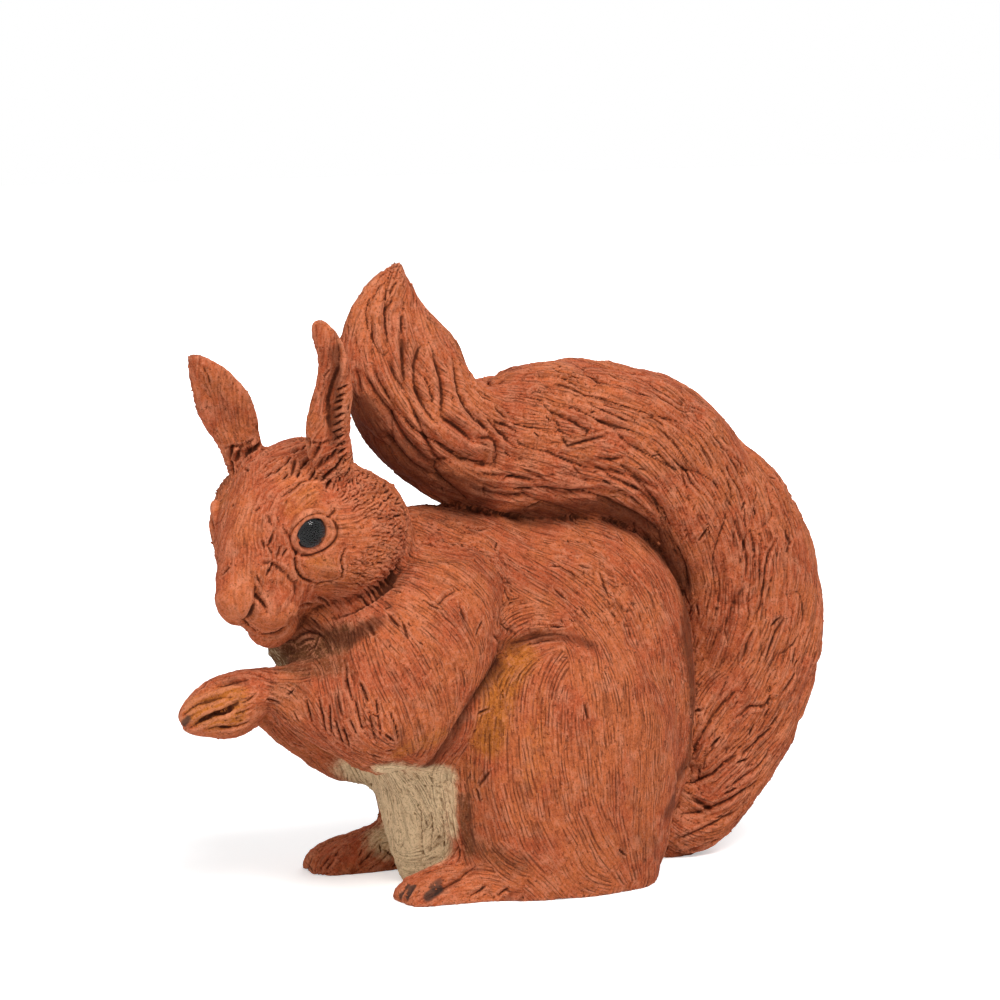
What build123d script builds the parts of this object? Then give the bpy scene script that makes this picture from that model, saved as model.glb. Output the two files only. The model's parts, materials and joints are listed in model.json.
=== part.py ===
from build123d import *
import os
from math import cos, pi, radians, sin

# A crouching squirrel, hand-built in terracotta from lumps of clay that are
# scored and slipped together, with two glass eyes bedded in putty. The trunk,
# skull and tail are hollow and share one passage to a vent in the base, as
# clay this thick must be to survive its firing. The figure faces -Y, its left
# side is +X, and it stands on z = 0 with the origin under its middle.
# Lengths are in millimetres. Values that end in share or shares are parts of
# the named sizes that they follow.

# Trunk: one egg of clay, cut flat where it stands
trunk_length = 152.5
trunk_height = 127.0
trunk_width = 76.0
trunk_front = -85.0
clay_wall = 8.0
floor_thickness = 9.0
vent_diameter = 18.0
passage_diameter = 14.0

# Belly: a thick panel of pale clay over the lower front of the trunk
belly_width = 50.0
belly_depth = 54.0
belly_height = 100.0

# Haunches and hind feet
haunch_width = 45.0
haunch_length = 83.0
haunch_rise = 46.0
haunch_reach_down = 75.0
foot_length = 54.0
foot_width = 22.0
foot_height = 14.5
left_foot_back = 5.0
right_foot_back = -4.0
toe_groove_width = 1.3
toe_groove_depth = 2.6

# Arms and forepaws: the right arm hangs lower and further back
shoulder_width = 38.0
shoulder_depth = 55.0
shoulder_height = 68.0
forearm_diameter = 33.0
wrist_diameter = 13.5
right_elbow_drop = 14.0
right_elbow_back = 13.0
right_wrist_back = 11.0
right_wrist_drop = 7.5
right_forearm_sag = 3.0
paw_length = 30.0
paw_height = 21.0
paw_thickness = 13.5
finger_groove_width = 1.2
finger_groove_depth = 2.2

# Skull, turned to the left and tipped down (degrees), and what is laid on it
head_turn = 32.0
head_tip = 28.0
skull_length = 66.0
skull_width = 46.0
skull_height = 57.0
muzzle_length = 30.0
muzzle_width = 18.0
muzzle_height = 24.0
whisker_pad_length = 18.0
whisker_pad_width = 15.0
whisker_pad_height = 16.5
chin_length = 22.0
chin_width = 16.0
chin_height = 15.0
cheek_length = 40.0
cheek_width = 31.0
cheek_height = 47.0

# Ears: blades of clay with a bowl pressed into the front
ear_width = 15.5
ear_thickness = 6.5
ear_bowl_depth = 2.8
left_ear_length = 56.0
right_ear_length = 47.0
left_ear_turn = 30.0
right_ear_turn = 24.0

# Eyes: a glass dome on a painted disc, bedded in putty behind a clay lid
eye_diameter = 10.6
eye_dome = 4.2
iris_diameter = 9.6
iris_thickness = 0.6
putty_thickness = 2.4
eye_gap = 0.25
eye_sunk = 0.8
eyelid_thickness = 3.4
eye_turn = 60.0

# Tail: four lumps end to end, over the back and up behind the head
tail_width = 51.0
tail_thickness = 44.0
tail_wall = 9.0

sides = (("left", 1), ("right", -1))
elbow_drop = {"left": 0.0, "right": right_elbow_drop}
elbow_back = {"left": 0.0, "right": right_elbow_back}
wrist_back = {"left": 0.0, "right": right_wrist_back}
wrist_drop = {"left": 0.0, "right": right_wrist_drop}
forearm_sag = {"left": 0.0, "right": right_forearm_sag}
foot_back = {"left": left_foot_back, "right": right_foot_back}
ear_length = {"left": left_ear_length, "right": right_ear_length}
ear_turn = {"left": left_ear_turn, "right": right_ear_turn}

# Seats of the lumps, in shares of the trunk's half width, length and height
head_seat_shares = (0.21, 0.008, 0.953)
neck_inside_shares = (0.00, 0.300, 0.660)
tail_inside_shares = (0.00, 0.720, 0.300)
belly_seat_shares = (0.00, 0.447, 0.268)
haunch_seat_shares = (0.77, 0.603, 0.331)
heel_seat_shares = (0.74, 0.540, 0.000)
elbow_seat_shares = (0.79, 0.223, 0.354)
wrist_seat_shares = (0.37, -0.052, 0.567)

# Seats on the face, in shares of the skull's half width, height and length
muzzle_seat_shares = (0.00, -0.04, 0.13)
pad_seat_shares = (0.30, -0.175, 0.345)
chin_seat_shares = (0.00, -0.37, 0.27)
cheek_seat_shares = (0.84, -0.16, -0.21)
eye_seat_shares = (0.80, 0.14, 0.12)
eyelid_outset_share = 0.33
ear_root_shares = {"left": (0.86, 0.30, -0.17), "right": (-0.60, 0.28, -0.18)}
ear_tip_shares = {"left": (1.16, 1.28, -0.30), "right": (-0.96, 1.115, -0.15)}

# Along the trunk: its widest level, reach up, reach down, half width
trunk_shares = (
    (0.003, 0.693, 0.048, 0.048, 0.16),
    (0.033, 0.693, 0.118, 0.110, 0.37),
    (0.105, 0.677, 0.225, 0.152, 0.60),
    (0.223, 0.622, 0.358, 0.272, 0.79),
    (0.348, 0.472, 0.525, 0.430, 0.88),
    (0.511, 0.402, 0.579, 0.496, 0.97),
    (0.675, 0.402, 0.559, 0.500, 1.00),
    (0.807, 0.425, 0.514, 0.490, 0.93),
    (0.905, 0.460, 0.402, 0.425, 0.77),
    (0.964, 0.480, 0.280, 0.320, 0.54),
    (0.997, 0.490, 0.130, 0.150, 0.24),
)
# Along the skull from its middle: reach up, reach down, half width
skull_shares = (
    (-0.515, 0.16, 0.14, 0.29),
    (-0.455, 0.28, 0.26, 0.54),
    (-0.333, 0.41, 0.42, 0.83),
    (-0.152, 0.46, 0.51, 1.00),
    (0.000, 0.45, 0.49, 0.96),
    (0.121, 0.41, 0.46, 0.85),
    (0.242, 0.34, 0.40, 0.69),
    (0.364, 0.22, 0.33, 0.47),
    (0.440, 0.12, 0.22, 0.27),
)
# Along the muzzle: reach up, reach down, half width
muzzle_shares = (
    (0.00, 0.58, 0.42, 1.00),
    (0.33, 0.50, 0.40, 0.95),
    (0.64, 0.36, 0.34, 0.82),
    (0.85, 0.27, 0.28, 0.70),
    (0.98, 0.14, 0.16, 0.40),
)
# Down the upper arm: height, shift back, half width, half depth
shoulder_shares = (
    (0.99, 0.33, 0.42, 0.34),
    (0.87, 0.24, 0.74, 0.68),
    (0.67, 0.11, 0.96, 0.94),
    (0.46, 0.03, 1.00, 1.00),
    (0.25, 0.00, 0.92, 0.86),
    (0.10, -0.01, 0.68, 0.60),
    (0.01, -0.02, 0.32, 0.28),
)
# Along the forearm before its wrist: how much of the taper from elbow to wrist is done
forearm_shares = ((0.00, 0.00), (0.45, 0.22), (0.80, 0.70))
forearm_start_shares = (0.10, 0.25)
# Along the paw after its wrist: drop below its line, half height, half thickness
paw_shares = (
    (0.22, 0.00, 0.90, 1.00),
    (0.45, 0.02, 0.98, 1.00),
    (0.68, 0.00, 0.84, 0.92),
    (0.88, 0.00, 0.54, 0.72),
    (0.99, 0.00, 0.24, 0.34),
)
paw_drop_shares = {"left": 0.36, "right": 0.16}
paw_close_share = 0.20
finger_start_share = 0.34
# Along the foot from its heel: half width, height
foot_shares = (
    (0.00, 0.78, 0.80),
    (0.35, 0.96, 1.00),
    (0.65, 1.00, 0.88),
    (0.85, 0.96, 0.66),
    (0.96, 0.76, 0.44),
    (1.00, 0.44, 0.24),
)
foot_underside_share = 0.4
toe_start_share = 0.66
toe_slope_share = 0.30
# Along each ear from its root: sway to the head's right, half width, half thickness
ear_shares = {
    "left": (
        (0.00, 0.12, 0.90, 1.00),
        (0.25, 0.09, 0.92, 1.00),
        (0.45, 0.01, 0.92, 0.84),
        (0.62, -0.12, 0.76, 0.72),
        (0.78, -0.14, 0.62, 0.60),
        (0.92, -0.03, 0.50, 0.46),
        (1.00, 0.05, 0.18, 0.24),
    ),
    "right": (
        (0.00, 0.00, 0.80, 1.00),
        (0.25, -0.03, 0.98, 1.00),
        (0.45, -0.10, 1.20, 0.84),
        (0.65, -0.12, 1.16, 0.70),
        (0.82, -0.12, 0.84, 0.58),
        (0.94, -0.06, 0.46, 0.46),
        (1.00, 0.00, 0.16, 0.24),
    ),
}
ear_bowl_seat_share = 0.62
ear_bowl_length_share = 0.29
ear_bowl_width_share = 0.31
# Route of the tail in shares of the trunk's length and height, then its half
# width outwards and inwards in the body's plane, and its half thickness
tail_shares = (
    (0.870, 0.190, 0.46, 0.46, 0.54),
    (1.018, 0.110, 0.58, 0.86, 0.64),
    (1.097, 0.236, 0.73, 1.14, 0.77),
    (1.162, 0.409, 0.85, 1.16, 0.86),
    (1.195, 0.598, 0.90, 1.20, 0.91),
    (1.162, 0.811, 0.94, 1.20, 0.95),
    (1.044, 1.000, 0.80, 1.16, 1.00),
    (0.848, 1.142, 1.01, 1.14, 1.00),
    (0.644, 1.154, 1.03, 1.06, 0.91),
    (0.474, 1.165, 0.83, 0.92, 0.82),
    (0.349, 1.260, 0.86, 0.84, 0.77),
    (0.277, 1.386, 0.88, 0.66, 0.61),
    (0.264, 1.512, 0.64, 0.43, 0.41),
    (0.287, 1.598, 0.29, 0.19, 0.20),
    (0.303, 1.634, 0.06, 0.05, 0.06),
)
tail_joints = {"tail_root": (0, 3), "tail_bend": (3, 6), "tail_back": (6, 9), "tail_plume": (9, 14)}
tail_hollows = {"tail_root": (1, 3), "tail_bend": (3, 6), "tail_back": (6, 9), "tail_plume": (9, 11)}

ring_points = 12
egg_angles = (9, 24, 42, 62, 82, 98, 118, 138, 156, 171)
grooves = 3

pieces = {}
upward = Vector(0, 0, 1)
leftward = Vector(1, 0, 0)
forward = Vector(0, -1, 0)


def on_trunk(side_share, along_share, level_share):
    """Give a point in shares of the trunk's half width, length and height."""
    return Vector(
        side_share * trunk_width / 2,
        trunk_front + along_share * trunk_length,
        level_share * trunk_height,
    )


def mirrored(shares, side):
    """Give a seat's shares on the left side, +1, or the right side, -1."""
    return (side * shares[0], shares[1], shares[2])


def ring(plane, half_width, up, down):
    """Draw one egg-shaped slice that reaches its own way up and down."""
    with BuildSketch(plane) as slice_of_clay:
        with BuildLine():
            points = []
            for step in range(ring_points):
                angle = 2 * pi * step / ring_points
                reach = up if sin(angle) > 0 else down
                points.append((half_width * cos(angle), reach * sin(angle)))
            Spline(*points, periodic=True)
        make_face()
    return slice_of_clay.sketch


def slices_of_egg(plane, half_length, half_width, up, down):
    """Slice an egg that lies along a plane's normal, centred on its origin."""
    slices = []
    for angle in egg_angles:
        swell = sin(radians(angle))
        along = -half_length * cos(radians(angle))
        slices.append(ring(plane.offset(along), half_width * swell, up * swell, down * swell))
    return slices


def cut_by(*neighbours):
    """Cut the piece that is being made where its neighbours already are."""
    for neighbour in neighbours:
        add(neighbour, mode=Mode.SUBTRACT)


# Trunk
def slices_of_trunk(inset):
    """Slice the trunk along its length, drawn in all round by a wall."""
    middle = trunk_front + trunk_length / 2
    narrower = 1 - 2 * inset / trunk_width
    lower = 1 - 2 * inset / trunk_height
    shorter = 1 - 2 * inset / trunk_length
    slices = []
    for along, level, up, down, half in trunk_shares:
        origin = on_trunk(0, along, level)
        origin.Y = middle + (origin.Y - middle) * shorter
        plane = Plane(origin=origin, x_dir=leftward, z_dir=forward)
        half_width = half * trunk_width / 2 * narrower
        slices.append(ring(plane, half_width, up * trunk_height * lower, down * trunk_height * lower))
    return slices


with BuildPart() as trunk_form:
    loft(slices_of_trunk(0))
    split(bisect_by=Plane.XY, keep=Keep.TOP)

with BuildPart() as trunk_cavity:
    loft(slices_of_trunk(clay_wall))
    split(bisect_by=Plane.XY, keep=Keep.TOP)

# Skull: in its frame x points to the head's left, y to its crown, z out of its nose
turn = radians(head_turn)
tip = radians(head_tip)
head_forward = Vector(sin(turn) * cos(tip), -cos(turn) * cos(tip), -sin(tip))
head_left = Vector(cos(turn), sin(turn), 0)
head_plane = Plane(origin=on_trunk(*head_seat_shares), x_dir=head_left, z_dir=head_forward)
head_up = head_plane.y_dir


def on_head(side_share, up_share, along_share):
    """Give a point in shares of the skull's half width, height and length."""
    across = head_left * (side_share * skull_width / 2)
    rise = head_up * (up_share * skull_height)
    return head_plane.origin + across + rise + head_forward * (along_share * skull_length)


def slices_of_skull(inset):
    """Slice the skull along its length, drawn in all round by a wall."""
    slices = []
    for along, up, down, half in skull_shares:
        plane = head_plane.offset(along * (skull_length - 2 * inset))
        tall = skull_height - 2 * inset
        slices.append(ring(plane, half * (skull_width / 2 - inset), up * tall, down * tall))
    return slices


with BuildPart() as skull_form:
    loft(slices_of_skull(0))

with BuildPart() as skull_cavity:
    loft(slices_of_skull(clay_wall))


# Tail: every lump takes its slices from one route
tail_route = [on_trunk(0, station[0], station[1]) for station in tail_shares]


def slices_of_tail(first, last, inset):
    """Slice the tail from one station of its route to another, both included."""
    slices = []
    for station in range(first, last + 1):
        before = tail_route[max(station - 1, 0)]
        after = tail_route[min(station + 1, len(tail_route) - 1)]
        plane = Plane(origin=tail_route[station], x_dir=leftward, z_dir=after - before)
        outer, inner, thick = tail_shares[station][2:]
        across = thick * tail_thickness / 2 - inset
        outward = outer * tail_width / 2 - inset
        inward = inner * tail_width / 2 - inset
        slices.append(ring(plane, across, outward, inward))
    return slices


# Passages that let steam out of the head and the tail into the trunk
neck_run = on_trunk(*neck_inside_shares) - head_plane.origin
with BuildPart() as neck_passage:
    with BuildSketch(Plane(origin=head_plane.origin, z_dir=neck_run)):
        Circle(passage_diameter / 2)
    extrude(amount=neck_run.length)

tail_inside = on_trunk(*tail_inside_shares)
tail_run = tail_route[1] - tail_inside
with BuildPart() as tail_passage:
    with BuildSketch(Plane(origin=tail_inside, z_dir=tail_run)):
        Circle(passage_diameter / 2)
    extrude(amount=tail_run.length)

with BuildPart() as torso:
    add(trunk_form.part)
    cut_by(trunk_cavity.part, neck_passage.part, tail_passage.part)
pieces["torso"] = torso

with BuildPart() as base_slab:
    add(trunk_cavity.part)
    split(bisect_by=Plane.XY.offset(floor_thickness), keep=Keep.BOTTOM)
    with BuildSketch(Plane.XY):
        Circle(vent_diameter / 2)
    extrude(amount=floor_thickness, mode=Mode.SUBTRACT)
pieces["base_slab"] = base_slab

# Haunches
for hand, side in sides:
    seat = on_trunk(*mirrored(haunch_seat_shares, side))
    haunch_plane = Plane(origin=seat, x_dir=leftward, z_dir=forward)
    with BuildPart() as haunch:
        loft(
            slices_of_egg(
                haunch_plane, haunch_length / 2, haunch_width / 2, haunch_rise, haunch_reach_down
            )
        )
        split(bisect_by=Plane.XY, keep=Keep.TOP)
        cut_by(trunk_form.part)
    pieces[hand + "_haunch"] = haunch

# Shoulders: the upper arm and the elbow in one lump
for hand, side in sides:
    elbow = on_trunk(*mirrored(elbow_seat_shares, side))
    shoulder_slices = []
    for height, shift, half, depth in shoulder_shares:
        slice_centre = Vector(
            elbow.X - side * shift * shoulder_width / 2,
            elbow.Y + shift * shoulder_depth + elbow_back[hand] * (1 - height),
            elbow.Z + height * shoulder_height - elbow_drop[hand] * (1 - height),
        )
        plane = Plane(origin=slice_centre, x_dir=leftward, z_dir=-upward)
        half_depth = depth * shoulder_depth / 2
        shoulder_slices.append(ring(plane, half * shoulder_width / 2, half_depth, half_depth))
    with BuildPart() as shoulder:
        loft(shoulder_slices)
        cut_by(trunk_form.part, pieces[hand + "_haunch"].part)
    pieces[hand + "_shoulder"] = shoulder

# Forearms, and forepaws that start on the same slice at the wrist
for hand, side in sides:
    forward_share, up_share = forearm_start_shares
    elbow = on_trunk(*mirrored(elbow_seat_shares, side))
    elbow.Y += elbow_back[hand] - forward_share * shoulder_depth
    elbow.Z += up_share * shoulder_height - elbow_drop[hand]
    wrist = on_trunk(*mirrored(wrist_seat_shares, side))
    wrist.Y += wrist_back[hand]
    wrist.Z -= wrist_drop[hand]
    arm_run = wrist - elbow
    arm_across = upward.cross(arm_run)
    forearm_slices = []
    for along, taper in forearm_shares:
        radius = (forearm_diameter + (wrist_diameter - forearm_diameter) * taper) / 2
        underside = radius + taper * forearm_sag[hand]
        plane = Plane(origin=elbow + arm_run * along, x_dir=arm_across, z_dir=arm_run)
        forearm_slices.append(ring(plane, radius, radius, underside))

    paw_run = Vector(-side * paw_close_share, -1, -paw_drop_shares[hand]).normalized()
    wrist_run = arm_run.normalized() + paw_run
    wrist_plane = Plane(origin=wrist, x_dir=upward.cross(wrist_run), z_dir=wrist_run)
    wrist_ring = ring(
        wrist_plane, wrist_diameter / 2, wrist_diameter / 2, wrist_diameter / 2 + forearm_sag[hand]
    )
    forearm_slices.append(wrist_ring)
    with BuildPart() as forearm:
        loft(forearm_slices)
        cut_by(trunk_form.part, pieces[hand + "_shoulder"].part, pieces[hand + "_haunch"].part)
    pieces[hand + "_forearm"] = forearm

    paw_across = upward.cross(paw_run)
    paw_slices = [wrist_ring]
    for along, drop, half, thick in paw_shares:
        origin = wrist + paw_run * (along * paw_length) - upward * (drop * paw_height)
        plane = Plane(origin=origin, x_dir=paw_across, z_dir=paw_run)
        half_height = half * paw_height / 2
        paw_slices.append(ring(plane, thick * paw_thickness / 2, half_height, half_height))
    finger_plane = Plane(
        origin=wrist + paw_run * (finger_start_share * paw_length), x_dir=paw_across, z_dir=paw_run
    )
    with BuildPart() as forepaw:
        loft(paw_slices)
        with BuildSketch(finger_plane):
            with GridLocations(paw_thickness, paw_height / (grooves + 1), 2, grooves):
                Rectangle(2 * finger_groove_depth, finger_groove_width)
        extrude(amount=paw_length, mode=Mode.SUBTRACT)
        cut_by(forearm.part, trunk_form.part)
    pieces[hand + "_forepaw"] = forepaw

# Belly panel
belly_plane = Plane(origin=on_trunk(*belly_seat_shares), x_dir=leftward, z_dir=upward)
with BuildPart() as belly_panel:
    loft(
        slices_of_egg(belly_plane, belly_height / 2, belly_width / 2, belly_depth / 2, belly_depth / 2)
    )
    split(bisect_by=Plane.XY, keep=Keep.TOP)
    cut_by(trunk_form.part)
    for hand, side in sides:
        cut_by(*[pieces[hand + lump].part for lump in ("_haunch", "_shoulder", "_forearm")])
pieces["belly_panel"] = belly_panel

# Hind feet, each scored by three grooves into four toes
for hand, side in sides:
    heel = on_trunk(*mirrored(heel_seat_shares, side))
    heel.Y += foot_back[hand]
    foot_slices = []
    for along, half, height in foot_shares:
        plane = Plane(origin=heel + forward * (along * foot_length), x_dir=leftward, z_dir=forward)
        rise = height * foot_height
        foot_slices.append(ring(plane, half * foot_width / 2, rise, foot_underside_share * rise))
    toe_plane = Plane(
        origin=heel + forward * (toe_start_share * foot_length) + upward * foot_height,
        x_dir=leftward,
        z_dir=forward - upward * toe_slope_share,
    )
    with BuildPart() as hind_foot:
        loft(foot_slices)
        split(bisect_by=Plane.XY, keep=Keep.TOP)
        with BuildSketch(toe_plane):
            with GridLocations(foot_width / (grooves + 1), 0, grooves, 1):
                Rectangle(toe_groove_width, 2 * toe_groove_depth)
        extrude(amount=foot_length, mode=Mode.SUBTRACT)
        cut_by(trunk_form.part, pieces[hand + "_haunch"].part, belly_panel.part)
    pieces[hand + "_hind_foot"] = hind_foot

# Eye frames: z looks out of the socket, and the glass starts at its level
eye_planes = {}
for hand, side in sides:
    look = radians(side * eye_turn)
    eye_axis = head_forward * cos(look) + head_left * sin(look)
    seat = on_head(*mirrored(eye_seat_shares, side)) - eye_axis * eye_sunk
    eye_planes[hand] = Plane(origin=seat, x_dir=head_up, z_dir=eye_axis)
eye_bore_diameter = eye_diameter + 2 * eye_gap

# Head: the hollow skull, seated on the trunk, with its two sockets
with BuildPart() as head:
    add(skull_form.part)
    cut_by(skull_cavity.part, trunk_form.part, neck_passage.part)
    for hand, side in sides:
        cut_by(pieces[hand + "_shoulder"].part)
        with BuildSketch(eye_planes[hand].offset(-iris_thickness - putty_thickness)):
            Circle(eye_bore_diameter / 2)
        extrude(amount=skull_width / 2, mode=Mode.SUBTRACT)
pieces["head"] = head

# Muzzle
muzzle_plane = Plane(origin=on_head(*muzzle_seat_shares), x_dir=head_left, z_dir=head_forward)
muzzle_slices = []
for along, up, down, half in muzzle_shares:
    plane = muzzle_plane.offset(along * muzzle_length)
    muzzle_slices.append(ring(plane, half * muzzle_width / 2, up * muzzle_height, down * muzzle_height))
with BuildPart() as muzzle:
    loft(muzzle_slices)
    cut_by(skull_form.part)
pieces["muzzle"] = muzzle


def slices_of_face_lump(seat_shares, length, width, height):
    """Slice an egg-shaped lump that is laid on the face."""
    plane = Plane(origin=on_head(*seat_shares), x_dir=head_left, z_dir=head_forward)
    return slices_of_egg(plane, length / 2, width / 2, height / 2, height / 2)


# Whisker pads, which meet on the midline under the nose
for hand, side in sides:
    with BuildPart() as whisker_pad:
        loft(
            slices_of_face_lump(
                mirrored(pad_seat_shares, side), whisker_pad_length, whisker_pad_width, whisker_pad_height
            )
        )
        cut_by(skull_form.part, muzzle.part)
        if hand == "right":
            cut_by(pieces["left_whisker_pad"].part)
    pieces[hand + "_whisker_pad"] = whisker_pad

with BuildPart() as chin:
    loft(slices_of_face_lump(chin_seat_shares, chin_length, chin_width, chin_height))
    cut_by(trunk_form.part, skull_form.part, muzzle.part)
    cut_by(pieces["left_whisker_pad"].part, pieces["right_whisker_pad"].part)
pieces["chin"] = chin

# Eyes: putty at the bottom of the socket, then the painted disc, then the glass
socket_bores = {}
for hand, side in sides:
    eye_plane = eye_planes[hand]
    with BuildPart() as putty:
        with BuildSketch(eye_plane.offset(-iris_thickness - putty_thickness)):
            Circle(eye_bore_diameter / 2)
        extrude(amount=putty_thickness)
    pieces[hand + "_eye_putty"] = putty

    with BuildPart() as iris:
        with BuildSketch(eye_plane.offset(-iris_thickness)):
            Circle(iris_diameter / 2)
        extrude(amount=iris_thickness)
    pieces[hand + "_iris"] = iris

    half_section = Plane(
        origin=eye_plane.origin,
        x_dir=eye_plane.x_dir,
        z_dir=eye_plane.x_dir.cross(eye_plane.z_dir),
    )
    dome_radius = (eye_diameter**2 / 4 + eye_dome**2) / (2 * eye_dome)
    with BuildPart() as glass_eye:
        with BuildSketch(half_section):
            with BuildLine():
                rim = (eye_diameter / 2, 0)
                crown = (0, eye_dome)
                RadiusArc(rim, crown, -dome_radius)
                Line(crown, (0, 0))
                Line((0, 0), rim)
            make_face()
        revolve(axis=Axis(eye_plane.origin, eye_plane.z_dir))
    pieces[hand + "_glass_eye"] = glass_eye

    lid_radius = eye_bore_diameter / 2 + eyelid_outset_share * eyelid_thickness
    with BuildPart() as socket_bore:
        with BuildSketch(eye_plane.offset(-eyelid_thickness)):
            Circle(eye_bore_diameter / 2)
        extrude(amount=2 * eyelid_thickness)
    with BuildPart() as eyelid:
        with BuildSketch(half_section):
            with Locations((lid_radius, 0)):
                Circle(eyelid_thickness / 2)
        revolve(axis=Axis(eye_plane.origin, eye_plane.z_dir))
        cut_by(skull_form.part, socket_bore.part)
    pieces[hand + "_eyelid"] = eyelid
    socket_bores[hand] = socket_bore

# Cheeks: the ruff at each side of the head
for hand, side in sides:
    with BuildPart() as cheek:
        loft(
            slices_of_face_lump(mirrored(cheek_seat_shares, side), cheek_length, cheek_width, cheek_height)
        )
        cut_by(trunk_form.part, skull_form.part, pieces[hand + "_shoulder"].part)
        cut_by(pieces[hand + "_eyelid"].part, socket_bores[hand].part)
    pieces[hand + "_cheek"] = cheek

# Ears
for hand, side in sides:
    root = on_head(*ear_root_shares[hand])
    ear_run = (on_head(*ear_tip_shares[hand]) - root).normalized()
    facing = head_forward * cos(radians(ear_turn[hand])) + head_left * sin(radians(ear_turn[hand]))
    ear_across = facing.cross(ear_run).normalized()
    ear_slices = []
    for along, sway, half, thick in ear_shares[hand]:
        origin = root + ear_run * (along * ear_length[hand]) + ear_across * (sway * ear_width)
        plane = Plane(origin=origin, x_dir=ear_across, z_dir=ear_run)
        half_thickness = thick * ear_thickness / 2
        ear_slices.append(ring(plane, half * ear_width / 2, half_thickness, half_thickness))
    bowl_seat = root + ear_run * (ear_bowl_seat_share * ear_length[hand])
    bowl_plane = Plane(
        origin=bowl_seat + ear_run.cross(ear_across) * (ear_thickness / 2),
        x_dir=ear_across,
        z_dir=ear_run,
    )
    with BuildPart() as ear_bowl:
        loft(
            slices_of_egg(
                bowl_plane,
                ear_bowl_length_share * ear_length[hand],
                ear_bowl_width_share * ear_width,
                ear_bowl_depth,
                ear_bowl_depth,
            )
        )
    with BuildPart() as ear:
        loft(ear_slices)
        cut_by(ear_bowl.part, skull_form.part, pieces[hand + "_cheek"].part)
    pieces[hand + "_ear"] = ear

# Tail lumps, hollow like the trunk
for lump, (first, last) in tail_joints.items():
    with BuildPart() as tail_hollow:
        loft(slices_of_tail(*tail_hollows[lump], tail_wall))
    with BuildPart() as tail_lump:
        loft(slices_of_tail(first, last, 0))
        split(bisect_by=Plane.XY, keep=Keep.TOP)
        cut_by(trunk_form.part, tail_hollow.part)
        cut_by(pieces["left_haunch"].part, pieces["right_haunch"].part)
        if lump == "tail_root":
            cut_by(tail_passage.part)
    pieces[lump] = tail_lump

os.makedirs("parts", exist_ok=True)
for name, piece in pieces.items():
    piece.part.label = name
    export_step(piece.part, "parts/" + name + ".step")
    print(name, len(piece.part.solids()), "solids", round(piece.part.volume), "mm3")
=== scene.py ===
# %% [markdown]
# # A squirrel in tooled terracotta
# The figure is built up from lumps of clay that are pressed together, blended
# at some joins and left crisp at others, and then combed, nicked and scraped
# all over before firing. The solid model holds the lumps. This lesson turns
# them into one clay skin, tools that skin, colours it, and gives it its eyes.

# %% Load the frame
import json
import math

import bpy
import numpy as np
import openvdb
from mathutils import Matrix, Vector
from mathutils.bvhtree import BVHTree

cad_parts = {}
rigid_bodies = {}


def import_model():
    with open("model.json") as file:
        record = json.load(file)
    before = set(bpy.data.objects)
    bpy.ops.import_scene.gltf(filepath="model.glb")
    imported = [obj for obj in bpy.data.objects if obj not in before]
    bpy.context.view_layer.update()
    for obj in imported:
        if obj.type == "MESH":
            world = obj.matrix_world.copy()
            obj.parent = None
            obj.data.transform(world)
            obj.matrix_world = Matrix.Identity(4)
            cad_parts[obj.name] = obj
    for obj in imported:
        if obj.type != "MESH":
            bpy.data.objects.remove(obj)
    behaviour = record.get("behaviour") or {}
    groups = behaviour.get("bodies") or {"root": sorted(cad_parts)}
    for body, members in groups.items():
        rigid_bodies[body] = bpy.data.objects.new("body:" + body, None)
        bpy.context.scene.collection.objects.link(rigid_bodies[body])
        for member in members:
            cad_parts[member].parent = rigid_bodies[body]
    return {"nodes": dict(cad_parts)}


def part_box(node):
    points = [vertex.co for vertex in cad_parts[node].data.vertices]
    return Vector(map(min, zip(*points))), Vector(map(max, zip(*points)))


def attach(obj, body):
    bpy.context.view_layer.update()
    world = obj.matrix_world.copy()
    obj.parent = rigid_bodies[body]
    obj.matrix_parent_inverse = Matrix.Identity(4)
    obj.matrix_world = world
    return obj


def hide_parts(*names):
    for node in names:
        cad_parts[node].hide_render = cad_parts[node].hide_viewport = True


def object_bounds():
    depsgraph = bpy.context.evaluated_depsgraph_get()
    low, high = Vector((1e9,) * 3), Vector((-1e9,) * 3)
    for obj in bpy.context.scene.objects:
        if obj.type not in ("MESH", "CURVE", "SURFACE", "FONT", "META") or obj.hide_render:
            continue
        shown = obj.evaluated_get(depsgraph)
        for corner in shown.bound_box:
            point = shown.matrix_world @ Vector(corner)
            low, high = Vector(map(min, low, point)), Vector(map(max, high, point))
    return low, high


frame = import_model()
cad_nodes = frame["nodes"]
cad_box = [list(corner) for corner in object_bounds()]
mm = 0.001
print("nodes:", len(cad_nodes), "box:", [[round(c, 4) for c in corner] for corner in cad_box])

# %% [markdown]
# The photograph was taken with a long lens, a little above the squirrel and
# well round to its left. The camera is set before anything else, so that each
# step can be compared with the picture. It could be dragged into place by eye.
# Two angles, a distance and the width of the picture do it in a way that lets
# each be changed alone.

# %% Camera
view_azimuth = math.radians(64.0)
view_elevation = math.radians(7.5)
view_distance = 1400 * mm
view_target = Vector((0.0, -1.75, 127.0)) * mm
frame_width = 335 * mm
sensor = 36.0

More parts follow.
